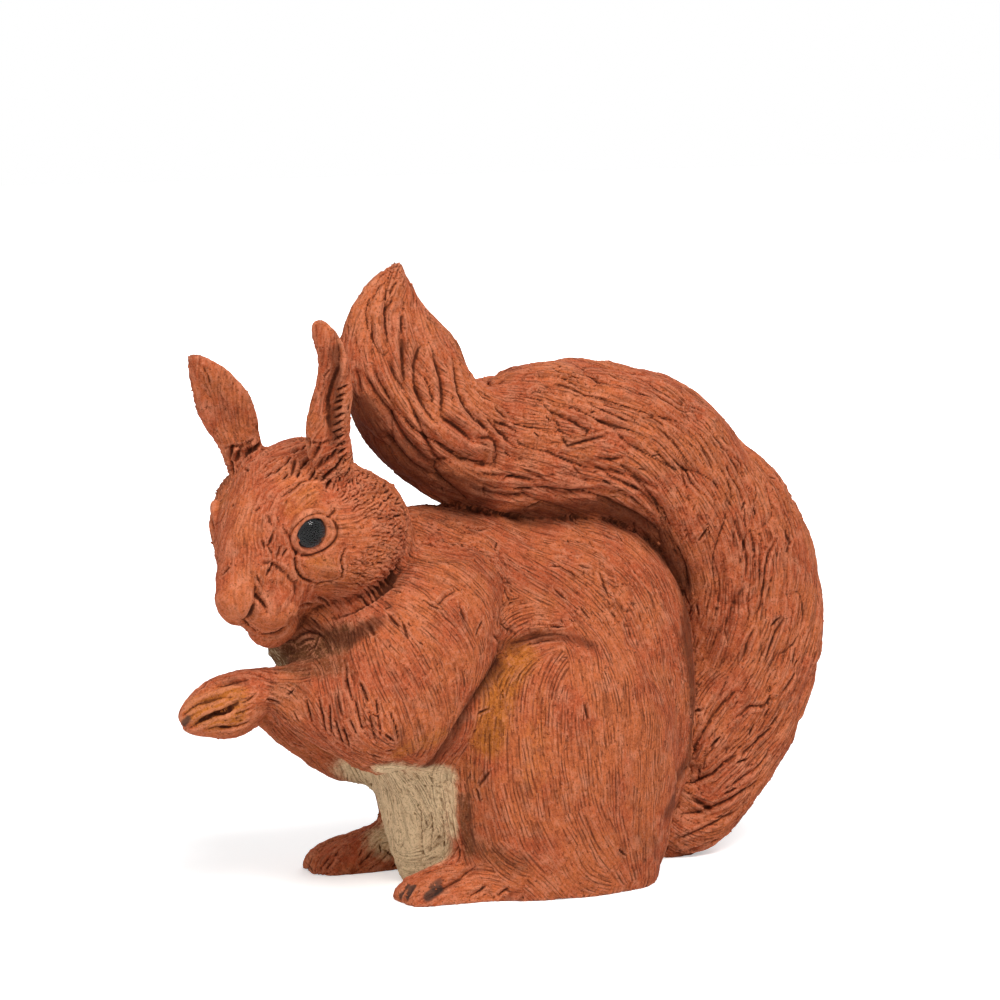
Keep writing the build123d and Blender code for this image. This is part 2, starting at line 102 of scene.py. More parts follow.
outwards = Vector(
    (
        math.sin(view_azimuth) * math.cos(view_elevation),
        -math.cos(view_azimuth) * math.cos(view_elevation),
        math.sin(view_elevation),
    )
)
camera_data = bpy.data.cameras.new("camera")
camera_data.sensor_width = sensor
camera_data.lens = sensor * view_distance / frame_width
camera_data.clip_start = 0.1
camera_data.clip_end = 20.0
camera = bpy.data.objects.new("camera", camera_data)
camera.location = view_target + outwards * view_distance
camera.rotation_euler = (-outwards).to_track_quat("-Z", "Y").to_euler()
bpy.context.scene.collection.objects.link(camera)
bpy.context.scene.camera = camera
print("lens:", round(camera_data.lens, 1), "mm")

# %% [markdown]
# ## One skin from many lumps
# Wet lumps that are pressed together share one surface. A distance field gives
# each point of space its distance to a lump, and a smooth minimum of two
# fields is their union with a fillet as wide as the thumb that smeared the
# join. Booleans would leave hard joins, and a voxel Remesh would blend all of
# them alike. Fields let each lump have its own fillet: wide on the arms, narrow
# on the ears.

# %% Cell size, and how far each lump is smeared into the ones before it, in millimetres
voxel = 0.6 * mm
groups = {
    "body": {
        "torso": 0.0,
        "left_haunch": 6.0,
        "right_haunch": 6.0,
        "belly_panel": 4.0,
        "left_shoulder": 11.0,
        "right_shoulder": 11.0,
        "left_forearm": 9.0,
        "right_forearm": 9.0,
        "left_forepaw": 1.5,
        "right_forepaw": 1.5,
        "left_hind_foot": 5.0,
        "right_hind_foot": 5.0,
    },
    "head": {
        "head": 0.0,
        "muzzle": 6.0,
        "left_whisker_pad": 3.5,
        "right_whisker_pad": 3.5,
        "chin": 4.0,
        "left_cheek": 9.0,
        "right_cheek": 9.0,
        "left_ear": 3.5,
        "right_ear": 3.5,
        "left_eyelid": 1.6,
        "right_eyelid": 1.6,
    },
    "tail": {
        "tail_root": 0.0,
        "tail_bend": 1.5,
        "tail_back": 1.5,
        "tail_plume": 1.5,
    },
}
group_joins = {"body": 0.0, "head": 1.2, "tail": 1.5}
clay_names = [name for group in groups.values() for name in group]
print("lumps:", len(clay_names), "cells:", round(voxel / mm, 2), "mm")


# %% Distance fields
reach = 12.0 * mm
margin = 12


def arrays_of(mesh):
    """Give a mesh's points and triangles as arrays."""
    points = np.empty(len(mesh.vertices) * 3, np.float32)
    mesh.vertices.foreach_get("co", points)
    mesh.calc_loop_triangles()
    triangles = np.empty(len(mesh.loop_triangles) * 3, np.int32)
    mesh.loop_triangles.foreach_get("vertices", triangles)
    return points.reshape(-1, 3), triangles.reshape(-1, 3).astype(np.uint32)


def field_of(name, room):
    """Give a lump's distance field as an array, and its first cell."""
    points, triangles = arrays_of(cad_nodes[name].data)
    first = np.floor((points.min(0) - room) / voxel).astype(int)
    last = np.ceil((points.max(0) + room) / voxel).astype(int)
    grid = openvdb.FloatGrid.createLevelSetFromPolygons(
        points, triangles=triangles, transform=openvdb.createLinearTransform(voxel), halfWidth=room / voxel
    )
    field = np.empty(last - first + 1, np.float32)
    grid.copyToArray(field, ijk=tuple(int(c) for c in first))
    return field, first


def smooth_min(one, other, width):
    """Take the lesser of two fields, with a fillet of a given width."""
    overlap = np.maximum(width - np.abs(one - other), 0)
    return np.minimum(one, other) - overlap**2 / (4 * width)


def join(one, other, width):
    """Unite two fields, with a fillet where a width in millimetres is given."""
    return smooth_min(one, other, width * mm) if width else np.minimum(one, other)


# %% Press the lumps together
clay_first = np.floor(np.array(cad_box[0]) / voxel).astype(int) - margin
clay_last = np.ceil(np.array(cad_box[1]) / voxel).astype(int) + margin
clay_shape = tuple(clay_last - clay_first + 1)
clay = np.full(clay_shape, reach, np.float32)
nearest = np.full(clay_shape, reach, np.float32)
owner = np.zeros(clay_shape, np.uint8)
for group, smears in groups.items():
    lumps = np.full(clay_shape, reach, np.float32)
    names = list(smears)
    for k, name in enumerate(names):
        widest_left = max([smears[later] for later in names[k:]] + list(group_joins.values()))
        field, first = field_of(name, (widest_left + 1) * mm)
        start = np.maximum(first, clay_first)
        stop = np.minimum(first + field.shape, clay_last + 1)
        here = tuple(slice(a, b) for a, b in zip(start - clay_first, stop - clay_first))
        there = tuple(slice(a, b) for a, b in zip(start - first, stop - first))
        lump = field[there]
        closer = lump < nearest[here]
        nearest[here] = np.where(closer, lump, nearest[here])
        owner[here] = np.where(closer, clay_names.index(name), owner[here])
        lumps[here] = join(lumps[here], lump, smears[name])
    clay = join(clay, lumps, group_joins[group])
    print(group, "field:", clay.shape)

# %% [markdown]
# The lumps are hollow, as fired clay must be, but their inner walls never
# show. The union is meshed once, only its outer shell is kept, and that shell
# is made a field again, now solid. Then the tools go in: a knife for the flat
# underside, a cutter for the base slab, and a ball for each eye socket. Each
# could be a Boolean on the mesh, but on a field a cut is a single maximum.

# %% Mesh a field and find its islands
def cell_centres(field, first):
    """Give the x, y and z of a field's cells, ready to broadcast."""
    axes = []
    for axis in range(3):
        shape = [1, 1, 1]
        shape[axis] = -1
        axes.append(((np.arange(field.shape[axis]) + first[axis]) * voxel).reshape(shape))
    return axes


def mesh_of(field, first):
    """Give the points and four-sided faces of a field's zero surface, faces outwards."""
    grid = openvdb.FloatGrid(reach)
    grid.transform = openvdb.createLinearTransform(voxel)
    grid.copyFromArray(np.ascontiguousarray(field), ijk=tuple(int(c) for c in first))
    points, triangles, quads = grid.convertToPolygons(isovalue=0.0)
    quads = quads.astype(np.int64)
    a, b, c, d = (points[quads[:, corner]].astype(float) for corner in range(4))
    volume = np.einsum("ij,ij->i", a, np.cross(b, c) + np.cross(c, d)).sum()
    if volume < 0:
        quads = quads[:, ::-1]
    return points.astype(float), quads


def islands_of(count, links):
    """Give each of count items the least number among those that it is linked to."""
    label = np.arange(count)
    one, other = links.T
    while len(one):
        np.minimum.at(label, np.maximum(one, other), np.minimum(one, other))
        while not np.array_equal(label, label[label]):
            label = label[label]
        one, other = label[one], label[other]
        apart = one != other
        one, other = one[apart], other[apart]
    return label


def quad_edges(quads):
    """Give every side of every face as a pair of points."""
    return np.concatenate([quads[:, [corner, (corner + 1) % 4]] for corner in range(4)])


# %% Plug the vent, keep the outer shell and cut it off flat
vent_radius = 9.0 * mm
floor_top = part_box("base_slab")[1].z
slab_room = 2.0 * mm
slab_gap = 0.3 * mm

slab, slab_first = field_of("base_slab", slab_room)
slab_place = tuple(slice(a, a + n) for a, n in zip(slab_first - clay_first, slab.shape))
slab_x, slab_y, slab_z = cell_centres(slab, slab_first)
slab = np.minimum(slab, np.maximum(np.sqrt(slab_x**2 + slab_y**2) - vent_radius, slab_z - floor_top))
clay[slab_place] = smooth_min(clay[slab_place], slab, slab_room)

points, quads = mesh_of(clay, clay_first)
island = islands_of(len(points), quad_edges(quads))
outer = np.bincount(island).argmax()
quads = quads[island[quads[:, 0]] == outer]
grid = openvdb.FloatGrid.createLevelSetFromPolygons(
    points.astype(np.float32),
    quads=quads.astype(np.uint32),
    transform=openvdb.createLinearTransform(voxel),
    halfWidth=reach / 3 / voxel,
)
grid.copyToArray(clay, ijk=tuple(int(c) for c in clay_first))
clay = np.maximum(clay, -cell_centres(clay, clay_first)[2])
clay[slab_place] = np.maximum(clay[slab_place], slab_gap - slab)
print("outer shell:", len(quads), "faces")

# %% Press in the eye sockets
head_centre = np.array([8.0, -83.8, 121.0])
socket_cells = 20
glass_radius = 5.44 * mm
glass_sunk = 1.24 * mm
glass_gap = 0.1 * mm
bore_radius = 5.55 * mm
bore_depth = 3.3 * mm
half_disc = 0.3 * mm
eyes = {}

for side in ("left", "right"):
    disc = arrays_of(cad_nodes[side + "_iris"].data)[0].astype(float)
    middle = (disc.min(0) + disc.max(0)) / 2
    gaze = np.linalg.svd(disc - disc.mean(0), full_matrices=False)[2][2]
    if gaze @ (middle - head_centre * mm) < 0:
        gaze = -gaze
    middle = middle + gaze * half_disc
    eyes[side] = (middle, gaze)
    first = np.floor(middle / voxel).astype(int) - socket_cells - clay_first
    place = tuple(slice(max(a, 0), a + 2 * socket_cells + 1) for a in first)
    ex, ey, ez = cell_centres(clay[place], clay_first + [s.start for s in place])
    ahead = (ex - middle[0]) * gaze[0] + (ey - middle[1]) * gaze[1] + (ez - middle[2]) * gaze[2]
    square = (ex - middle[0]) ** 2 + (ey - middle[1]) ** 2 + (ez - middle[2]) ** 2
    across = np.sqrt(np.maximum(square - ahead**2, 0))
    ball = np.hypot(across, ahead + glass_sunk) - glass_radius - glass_gap
    bore = np.maximum(across - bore_radius, np.maximum(ahead, -bore_depth - ahead))
    clay[place] = np.maximum(clay[place], -np.minimum(ball, bore))
    print(side, "eye looks along", gaze.round(2))

# %% [markdown]
# ## The skin as arrays
# From here on the skin is a list of points and four-sided faces. Arrays make it
# quick to ask the same question of half a million points: which lump are you
# on, which way do you face, and which way did the comb run over you?

# %% The skin and its neighbours
points, quads = mesh_of(clay, clay_first)
skin = points / mm
sides_of_faces = np.sort(quad_edges(quads), axis=1)
edges = np.unique(sides_of_faces, axis=0)
neighbours = np.bincount(edges.ravel(), minlength=len(skin)).astype(float)
skin_cells = np.rint(points / voxel).astype(int) - clay_first
lump_of = owner[tuple(skin_cells.T)].astype(int)
number_of = {name: number for number, name in enumerate(clay_names)}
print("skin:", len(skin), "points,", len(quads), "faces")


def spread(values, times):
    """Even out values over the skin, each point with its neighbours."""
    values = values.reshape(len(skin), -1).astype(float)
    for _ in range(times):
        for column in range(values.shape[1]):
            one = values[:, column]
            total = np.bincount(edges[:, 0], one[edges[:, 1]], len(skin))
            total += np.bincount(edges[:, 1], one[edges[:, 0]], len(skin))
            values[:, column] = 0.5 * one + 0.5 * total / neighbours
    return values.squeeze()


def unit(vectors):
    """Scale vectors to length one."""
    return vectors / np.maximum(np.linalg.norm(vectors, axis=-1, keepdims=True), 1e-9)


def normals_of(places):
    """Give the way that the skin faces at each of its points."""
    a, b, c, d = (places[quads[:, corner]] for corner in range(4))
    facing = np.cross(c - a, d - b)
    total = np.zeros_like(places)
    for corner in range(4):
        for axis in range(3):
            total[:, axis] += np.bincount(quads[:, corner], facing[:, axis], len(places))
    return unit(total)


def on(*names):
    """Tell which points of the skin are on the named lumps."""
    return np.isin(lump_of, [number_of[name] for name in names])


def plain(name):
    """Give a lump's name without its side."""
    return name.removeprefix("left_").removeprefix("right_")


def by_lump(values, other):
    """Give every point of the skin its lump's value from a table of plain names."""
    return np.array([values.get(plain(name), other) for name in clay_names], float)[lump_of]


facing = normals_of(skin)
for name in clay_names:
    print(name, int(on(name).sum()))


# %% [markdown]
# Hands and tools are never even. Nearly all that follows is varied by one kind
# of random value that drifts smoothly through space, made here from the cells
# of a lattice. Blender has a noise of its own, which is asked for one point at
# a time. This one takes all points at once. Its seed is fixed, so each run
# gives the same squirrel.

# %% Random values that change smoothly over space
def wander(places, cell, seed):
    """Give smooth random values from -1 to 1 that change over about one cell."""
    scaled = places / np.asarray(cell, float) + 1000
    corner_of = np.floor(scaled).astype(np.int64)
    part = scaled - corner_of
    part = part * part * (3 - 2 * part)
    total = np.zeros(len(places))
    for corner in np.ndindex(2, 2, 2):
        step = np.array(corner)
        mixed = (corner_of + step) @ np.array([73856093, 19349663, 83492791]) + seed * 2654435
        mixed = (mixed ^ (mixed >> 13)) * 1274126177
        mixed = (mixed ^ (mixed >> 16)) & 0xFFFF
        weight = np.prod(np.where(step, part, 1 - part), axis=1)
        total += weight * (mixed / 32767.5 - 1)
    return total


print("three points' values:", wander(skin[:3], 14, 4).round(2))

# %% [markdown]
# ## Where things show in the picture
# Many marks are placed at a pixel of the photograph. A ray from the
# camera through that pixel meets the skin where the mark belongs. They could be
# placed in space instead, but then each needs a third number that no one sees.

# %% From the skin to the picture and back
picture_size = 1000
pixels_per_slope = picture_size * view_distance / frame_width
camera_place = np.array(camera.location) / mm
look = -np.array(outwards)
to_right = np.array([math.cos(view_azimuth), math.sin(view_azimuth), 0.0])
to_top = np.cross(to_right, look)


def pixels_of(places):
    """Give the pixels at which points in space show."""
    away = places - camera_place
    depth = away @ look
    right = picture_size / 2 + pixels_per_slope * (away @ to_right) / depth
    down = picture_size / 2 - pixels_per_slope * (away @ to_top) / depth
    return np.stack([right, down], axis=1)


skin_tree = BVHTree.FromPolygons(skin.tolist(), quads.tolist())


def under_pixel(px, py):
    """Give the point of the skin that shows at a pixel."""
    across = (px - picture_size / 2) * to_right - (py - picture_size / 2) * to_top
    ray = look * pixels_per_slope + across
    hit = skin_tree.ray_cast(Vector(camera_place), Vector(ray).normalized())[0]
    return None if hit is None else np.array(hit)


print("nose shows at", pixels_of(head_centre[None]).round(), "skin there:", under_pixel(285, 533))

# %% [markdown]
# ## The frames of head and tail
# The sculptor thinks of the face from the nose backwards, and of the tail along
# its bend. So do the tools: the head gets its own left, up and forward, and the
# tail a distance along its route.

# %% Head frame
head_turn = math.radians(32)
head_tip = math.radians(28)
head_forward = np.array(
    [math.sin(head_turn) * math.cos(head_tip), -math.cos(head_turn) * math.cos(head_tip), -math.sin(head_tip)]
)
head_left = np.array([math.cos(head_turn), math.sin(head_turn), 0.0])
head_up = np.cross(head_forward, head_left)
head_axes = np.array([head_left, head_up, head_forward])
on_face = (skin - head_centre) @ head_axes.T
print("head's up:", head_up.round(3))

# %% Tail route
trunk_front, trunk_length, trunk_height = -85.0, 152.5, 127.0
tail_shares = (
    (0.870, 0.190),
    (1.018, 0.110),
    (1.097, 0.236),
    (1.162, 0.409),
    (1.195, 0.598),
    (1.162, 0.811),
    (1.044, 1.000),
    (0.848, 1.142),
    (0.644, 1.154),
    (0.474, 1.165),
    (0.349, 1.260),
    (0.277, 1.386),
    (0.264, 1.512),
    (0.303, 1.634),
)
steps_per_span = 24
points_at_once = 20000
stations = np.array([(0, trunk_front + a * trunk_length, b * trunk_height) for a, b in tail_shares])
padded = np.vstack([2 * stations[0] - stations[1], stations, 2 * stations[-1] - stations[-2]])
route = []
for span in range(len(stations) - 1):
    p0, p1, p2, p3 = padded[span : span + 4]
    for t in np.arange(steps_per_span) / steps_per_span:
        bend = (2 * p0 - 5 * p1 + 4 * p2 - p3) * t**2 + (3 * p1 - p0 - 3 * p2 + p3) * t**3
        route.append(0.5 * (2 * p1 + (p2 - p0) * t + bend))
route = np.array(route + [stations[-1]])
route_run = unit(np.gradient(route, axis=0))
route_length = np.concatenate([[0], np.cumsum(np.linalg.norm(np.diff(route, axis=0), axis=1))])
on_tail = on("tail_root", "tail_bend", "tail_back", "tail_plume")
tail_points = np.flatnonzero(on_tail)
nearest_step = np.empty(len(tail_points), int)
for start in range(0, len(tail_points), points_at_once):
    some = slice(start, start + points_at_once)
    gaps = ((skin[tail_points[some], None, 1:] - route[None, :, 1:]) ** 2).sum(2)
    nearest_step[some] = gaps.argmin(1)
from_route = skin[tail_points] - route[nearest_step]
tail_along = route_length[nearest_step] + (from_route * route_run[nearest_step]).sum(1)
print("tail:", round(route_length[-1]), "mm along its route")

# %% [markdown]
# ## Which way the tool ran
# Clay fur is combed, and the comb follows the coat: back from the nose, over
# the shoulders, round the rump and along the tail. The flow is given at a few
# places of the picture as the slope of the marks there, and is filled in
# between. Combing a hair system by hand would do the same, but a short list can
# be read and mended. A slope of 0 runs level, 90 runs down, and 30 falls to the
# right.

# %% Slopes of the marks, by pixel
slopes = (
    (430, 530, 35), (450, 510, 20), (500, 530, 15), (550, 530, 10), (600, 530, 15), (650, 560, 42),
    (675, 610, 65), (685, 670, 84), (685, 720, 95), (670, 780, 108), (450, 570, 35), (500, 580, 30),
    (550, 570, 25), (600, 580, 35), (640, 610, 55), (655, 660, 78), (650, 705, 88), (430, 610, 45),
    (460, 610, 48), (400, 655, 50), (430, 640, 48), (390, 705, 58), (430, 705, 55), (360, 670, 72),
    (325, 705, 84), (345, 715, 80), (300, 710, 40), (275, 695, 25), (350, 755, 25), (410, 750, 28),
    (415, 805, 88), (450, 805, 90), (300, 655, -10), (350, 640, 60), (520, 670, 122), (505, 690, 112),
    (550, 655, 128), (540, 700, 100), (560, 690, 98), (590, 665, 90), (490, 700, 105), (480, 740, 95),
    (520, 740, 92), (560, 740, 84), (600, 720, 90), (590, 765, 85), (545, 780, 76), (570, 775, 76),
    (595, 795, 70), (500, 770, 88), (515, 800, 76), (540, 840, 62), (560, 862, 60), (600, 850, 58),
    (630, 850, 54), (520, 850, 60), (610, 820, 60), (640, 800, 75), (490, 830, 84), (475, 755, 98),
    (520, 643, -30), (560, 640, 10), (620, 670, 86), (650, 730, 88), (420, 615, 34), (450, 655, 56),
    (455, 700, 78), (435, 740, 108), (450, 880, -15), (430, 880, -25), (475, 875, 5), (525, 875, 14),
    (600, 875, 8), (350, 850, -10), (250, 510, -75), (275, 480, -50), (300, 470, -45), (240, 540, 80),
    (320, 580, 20), (350, 555, 8), (365, 530, -6), (360, 490, -28), (385, 510, -15), (390, 550, 15),
    (375, 580, 35), (350, 600, 45), (300, 600, 40), (230, 570, 82), (240, 600, 75), (270, 585, -80),
    (287, 600, -60), (270, 615, 10), (320, 380, 97), (318, 415, 100), (230, 405, 62), (220, 380, 60),
    (225, 700, -22), (200, 715, -22),
)
slope_reach = 16.0
print("slopes:", len(slopes))


def slope_at(places):
    """Fill in the slope between the given places, as a line in the picture."""
    shown = pixels_of(places)
    given = np.array(slopes, float)
    double = np.radians(2 * given[:, 2])
    line = np.zeros((len(places), 2))
    for (px, py, _), twice in zip(given, double):
        gap = (shown[:, 0] - px) ** 2 + (shown[:, 1] - py) ** 2
        weight = 1 / (gap + slope_reach**2) ** 1.5
        line += weight[:, None] * np.array([math.cos(twice), math.sin(twice)])
    half = np.arctan2(line[:, 1], line[:, 0]) / 2
    return np.cos(half)[:, None] * to_right - np.sin(half)[:, None] * to_top


def along_skin(vectors):
    """Lay vectors flat on the skin, at length one."""
    return unit(vectors - (vectors * facing).sum(1)[:, None] * facing)


def mirrored(vectors, axis, active):
    """Turn some vectors over to the other side of a plane."""
    turned = vectors - 2 * (vectors @ axis)[:, None] * axis
    return np.where(active[:, None], turned, vectors)


# %% [markdown]
# The far side gets the near side's flow, turned over. Round the tail the fur
# winds a little, so its strands leave the route's direction by some degrees.

# %% Lay the flow on the skin
tail_twists = ((20, -8), (60, -14), (165, -22), (225, -18), (260, 0))
on_head = on(*groups["head"])
far_body = (skin[:, 0] < 0) & ~on_head
far_face = (on_face[:, 0] < 0) & on_head
sideways = np.array([1.0, 0, 0])
near_twin = mirrored(skin, sideways, far_body)
face_twin = mirrored(skin - head_centre, head_left, far_face) + head_centre
near_twin = np.where(far_face[:, None], face_twin, near_twin)
flow = slope_at(near_twin)
flow = mirrored(mirrored(flow, sideways, far_body), head_left, far_face)
twist = np.radians(np.interp(tail_along, *zip(*tail_twists)))
side_of_tail = np.sign(skin[tail_points, 0])
across_tail = np.cross(facing[tail_points], route_run[nearest_step])
flow[tail_points] = (
    np.cos(twist)[:, None] * route_run[nearest_step] + (side_of_tail * np.sin(twist))[:, None] * across_tail
)
flow = along_skin(flow)
print("flow laid on", len(flow), "points")

# %% [markdown]
# ## Strokes that follow the flow
# A stretched noise texture would make fur on a flat board, but it can't turn
# with the coat. A random field that is smeared along the flow can: every point
# walks a short way up and down the flow and takes the mean of what it meets.
# Where that mean crosses zero the strands part, and the clay gets a crease
# there, with a rounded ridge between two creases.

# %% The skin's points, found by their place
def cells_at(places):
    """Give the cells of the field that hold some points."""
    cells = np.floor(places * (mm / voxel)).astype(np.int32) - clay_first
    return tuple(np.clip(cells, 1, np.array(clay_shape) - 2).T)


home = cells_at(skin)
point_in = np.full(clay_shape, -1, np.int32)
point_near = np.full(clay_shape, -1, np.int32)
shifts = sorted(np.ndindex(3, 3, 3), key=lambda shift: -sum((part - 1) ** 2 for part in shift))
for shift in shifts:
    point_near[tuple(axis + part - 1 for axis, part in zip(home, shift))] = np.arange(len(skin))
point_in[home] = np.arange(len(skin))
print("cells near the skin:", int((point_near >= 0).sum()))

# %% Walk along the flow
stride = 1.2
strides = 14
walks = {1: [], -1: []}
for way in walks:
    place = skin.copy()
    here = np.arange(len(skin))
    heading = way * flow
    for _ in range(strides):
        place = place + stride * heading
        found = point_near[cells_at(place)]
        here = np.where(found >= 0, found, here)
        place -= ((place - skin[here]) * facing[here]).sum(1)[:, None] * facing[here]
        heading = flow[here] * np.where((flow[here] * heading).sum(1) < 0, -1.0, 1.0)[:, None]
        walks[way].append(here.astype(np.int32))
print("each walk:", strides, "steps of", stride, "mm")


def strands(cell, length, seed):
    """Smear random values along the flow, with a spread of about one."""
    values = wander(skin, cell, seed)
    steps = min(int(length / 2 / stride), strides)
    total = values.copy()
    for k in range(steps):
        weight = math.cos(0.5 * math.pi * (k + 1) / (steps + 1))
        total += weight * (values[walks[1][k]] + values[walks[-1][k]])
    return total / total.std()


def ridges(values, fullness):
    """Give 0 in the crease where values cross zero and 1 on the ridge between."""
    return 1 - np.exp(-np.abs(values) / fullness)


# %% Four sizes of stroke: how wide and long, the seed, and how full the ridges are
stroke_sizes = {
    "broad": (8.5, 34, 6, 0.6),
    "wide": (5.0, 33, 1, 0.55),
    "narrow": (2.6, 16, 2, 0.5),
    "fine": (1.5, 10, 3, 0.5),
}
strokes = []
for stroke_name, (cell, length, seed, fullness) in stroke_sizes.items():
    strokes.append(ridges(strands(cell, length, seed), fullness))
    print(stroke_name, "strokes:", strokes[-1].mean().round(2))

# %% How deep the strokes are on each lump: broad, wide, narrow and fine, in millimetres
depths = {
    "torso": (0.5, 0.30, 0.25, 0.15),
    "haunch": (0.4, 0.2, 0.15, 0.12),
    "belly_panel": (0.3, 0.3, 0.4, 0.3),
    "shoulder": (0.5, 0.25, 0.25, 0.15),
    "forearm": (0.3, 0.3, 0.35, 0.2),
    "forepaw": (0.0, 0.1, 0.3, 0.2),
    "hind_foot": (0.3, 0.3, 0.4, 0.2),
    "head": (0.0, 0.15, 0.22, 0.18),
    "muzzle": (0.0, 0.0, 0.12, 0.12),
    "whisker_pad": (0.0, 0.0, 0.1, 0.1),
    "chin": (0.0, 0.0, 0.2, 0.2),
    "cheek": (0.0, 0.3, 0.35, 0.25),
    "ear": (0.0, 0.1, 0.3, 0.2),
    "eyelid": (0.0, 0.0, 0.08, 0.08),
    "tail_root": (1.3, 0.6, 0.35, 0.15),
    "tail_bend": (1.8, 0.7, 0.4, 0.15),
    "tail_back": (1.8, 0.7, 0.45, 0.2),
    "tail_plume": (2.6, 0.6, 0.35, 0.15),
}
comb_strengths = {
    "belly_panel": 0.5, "forepaw": 0.3, "hind_foot": 0.45, "head": 0.5, "muzzle": 0.15, "whisker_pad": 0.25,
    "chin": 0.3, "cheek": 0.6, "ear": 0.6, "eyelid": 0.0, "tail_root": 0.85, "tail_bend": 0.85,
    "tail_back": 0.85, "tail_plume": 0.75,
}
seam_rounds = 8
depth_here = np.zeros((len(skin), len(strokes) + 1))
for name in clay_names:
    depth_here[on(name)] = depths[plain(name)] + (comb_strengths.get(plain(name), 1.0),)
depth_here = spread(depth_here, seam_rounds)
comb_strength = depth_here[:, -1]
print("mean depths:", depth_here.mean(0).round(2))

# %% Raise the skin along the strokes, over slow swells: how high, how wide, and the seed
mean_ridge = 0.7
swells = ((0.5, 14, 4), (0.25, 6, 5))
height = sum(rise * wander(skin, cell, seed) for rise, cell, seed in swells)
for depth, stroke in zip(depth_here.T, strokes):
    height += depth * (stroke - mean_ridge)
print("height:", height.min().round(2), height.max().round(2))

# %% [markdown]
# Clay that tears instead of parting leaves crumbs and pits. There are more of
# them on the trunk and the tail, and hardly any on snout and paws.

# %% How torn each lump is
roughness = {
    "torso": 1.0, "haunch": 0.4, "belly_panel": 0.5, "shoulder": 0.5, "forearm": 0.8, "forepaw": 0.2, "hind_foot": 0.6,
    "head": 0.5, "muzzle": 0.2, "whisker_pad": 0.2, "chin": 0.3, "cheek": 0.6, "ear": 0.3, "eyelid": 0.0,
}
rough_here = spread(by_lump(roughness, 0.7), seam_rounds) * np.clip(0.45 + 1.3 * wander(skin, 17, 21), 0, 1)
crumbs_and_pits = np.clip(wander(skin, 2.0, 22) - 0.3, 0, 1) - np.clip(wander(skin, 1.7, 23) - 0.4, 0, 1)
height += 1.1 * rough_here * crumbs_and_pits + 0.1 * wander(skin, 1.4, 24)
print("height:", height.min().round(2), height.max().round(2))

# %% [markdown]
# ## Cuts made on purpose
# The face, the fingers and the toes are cut with a pointed tool. Each cut is a
# list of pixels that is cast onto the skin, with a width and a depth in
# millimetres. A cut pushes up a low burr on either side. A crease brush in
# Sculpt mode makes such cuts too, but a list gives the same ones at each run.
# Face, paws and body have a twin cut on the side that the camera doesn't see.

# %% Find points of the skin, and their twins
cuts = np.zeros(len(skin))
rng = np.random.default_rng(11)
pixel = frame_width / mm / picture_size


def near_points(place, radius):
    """Give the skin's points in a box about a place."""
    low = np.floor((place - radius) * (mm / voxel)).astype(int) - clay_first
    high = np.floor((place + radius) * (mm / voxel)).astype(int) - clay_first + 1
    block = point_in[tuple(slice(max(a, 0), b) for a, b in zip(low, high))]
    return block[block >= 0]


def nearest_point(place):
    """Give the number of the skin's point nearest to a place."""
    place = np.array(skin_tree.find_nearest(Vector(place))[0])
    close = near_points(place, 2.5)
    return close[((skin[close] - place) ** 2).sum(1).argmin()]


def twin_of(place, is_face):
    """Give the place on the other side of the body or the face."""
    if is_face:
        return place - 2 * ((place - head_centre) @ head_left) * head_left
    return place * (-1, 1, 1)


print("a pixel is", round(pixel, 3), "mm")


# %% A knife that follows a list of pixels
def spans_of(path):
    """Give the spans between a path's marks on the skin, but none that jumps from lump to lump."""
    marks = [(np.array(spot), under_pixel(*spot)) for spot in path]
    marks = [(spot, mark) for spot, mark in marks if mark is not None]
    for (spot, one), (next_spot, other) in zip(marks, marks[1:]):
        if np.linalg.norm(other - one) < 3.5 * pixel * np.linalg.norm(next_spot - spot) + 1:
            yield one, other


def groove(path, width, depth, burr=0.25, twin=None):
    """Cut along a list of pixels."""
    whole = []
    for one, other in spans_of(path):
        steps = max(int(np.linalg.norm(other - one) / 0.4), 1)
        whole += [one + (other - one) * k / steps for k in range(steps + 1)]
    for far in (False, True) if twin else (False,):
        line = whole
        if far and twin == "face":
            line = [twin_of(place, True) for place in whole if (place - head_centre) @ head_left > 5]
        elif far:
            line = [twin_of(place, False) for place in whole if place[0] > 9]
        if not line:
            continue
        spine = np.array([skin_tree.find_nearest(Vector(place))[0] for place in line])
        ways = facing[[nearest_point(place) for place in spine]]
        close = np.unique(np.concatenate([near_points(place, 2.2 * width + 0.6) for place in spine]))
        gaps = np.linalg.norm(skin[close][:, None] - spine[None], axis=2)
        best = gaps.argmin(1)
        across = gaps[np.arange(len(close)), best] / width
        taper = np.sin(np.pi * np.clip((best + 1) / (len(line) + 1), 0, 1)) ** 0.4
        same_side = (facing[close] * ways[best]).sum(1) > -0.2
        edge = burr * np.exp(-(((across - 1.6) / 0.45) ** 2)) if depth > 0 else 0
        cuts[close] += same_side * taper * (edge - depth * np.exp(-2.5 * across**2))


# %% A leaf-shaped tool that is pressed in at one place
def nick(centre, run, length, width, depth, burr):
    """Press a leaf-shaped tool into the skin, which lifts clay at its far end."""
    close = near_points(skin[centre], max(0.75 * length, 1.5 * width))
    offset = skin[close] - skin[centre]
    along = 2 * (offset @ run) / length
    taper = np.clip(1 - along**2, 0, 1)
    across = 2 * (offset @ np.cross(facing[centre], run)) / width / np.sqrt(taper + 0.08)
    same_side = facing[close] @ facing[centre] > 0.2
    lift = burr * taper * np.exp(-(((np.abs(across) - 1.4) / 0.45) ** 2))
    lift += 1.5 * burr * np.exp(-(((along - 1.1) / 0.25) ** 2) - across**2)
    cuts[close] += same_side * (lift - depth * taper * np.clip(1 - across**2, 0, 1))


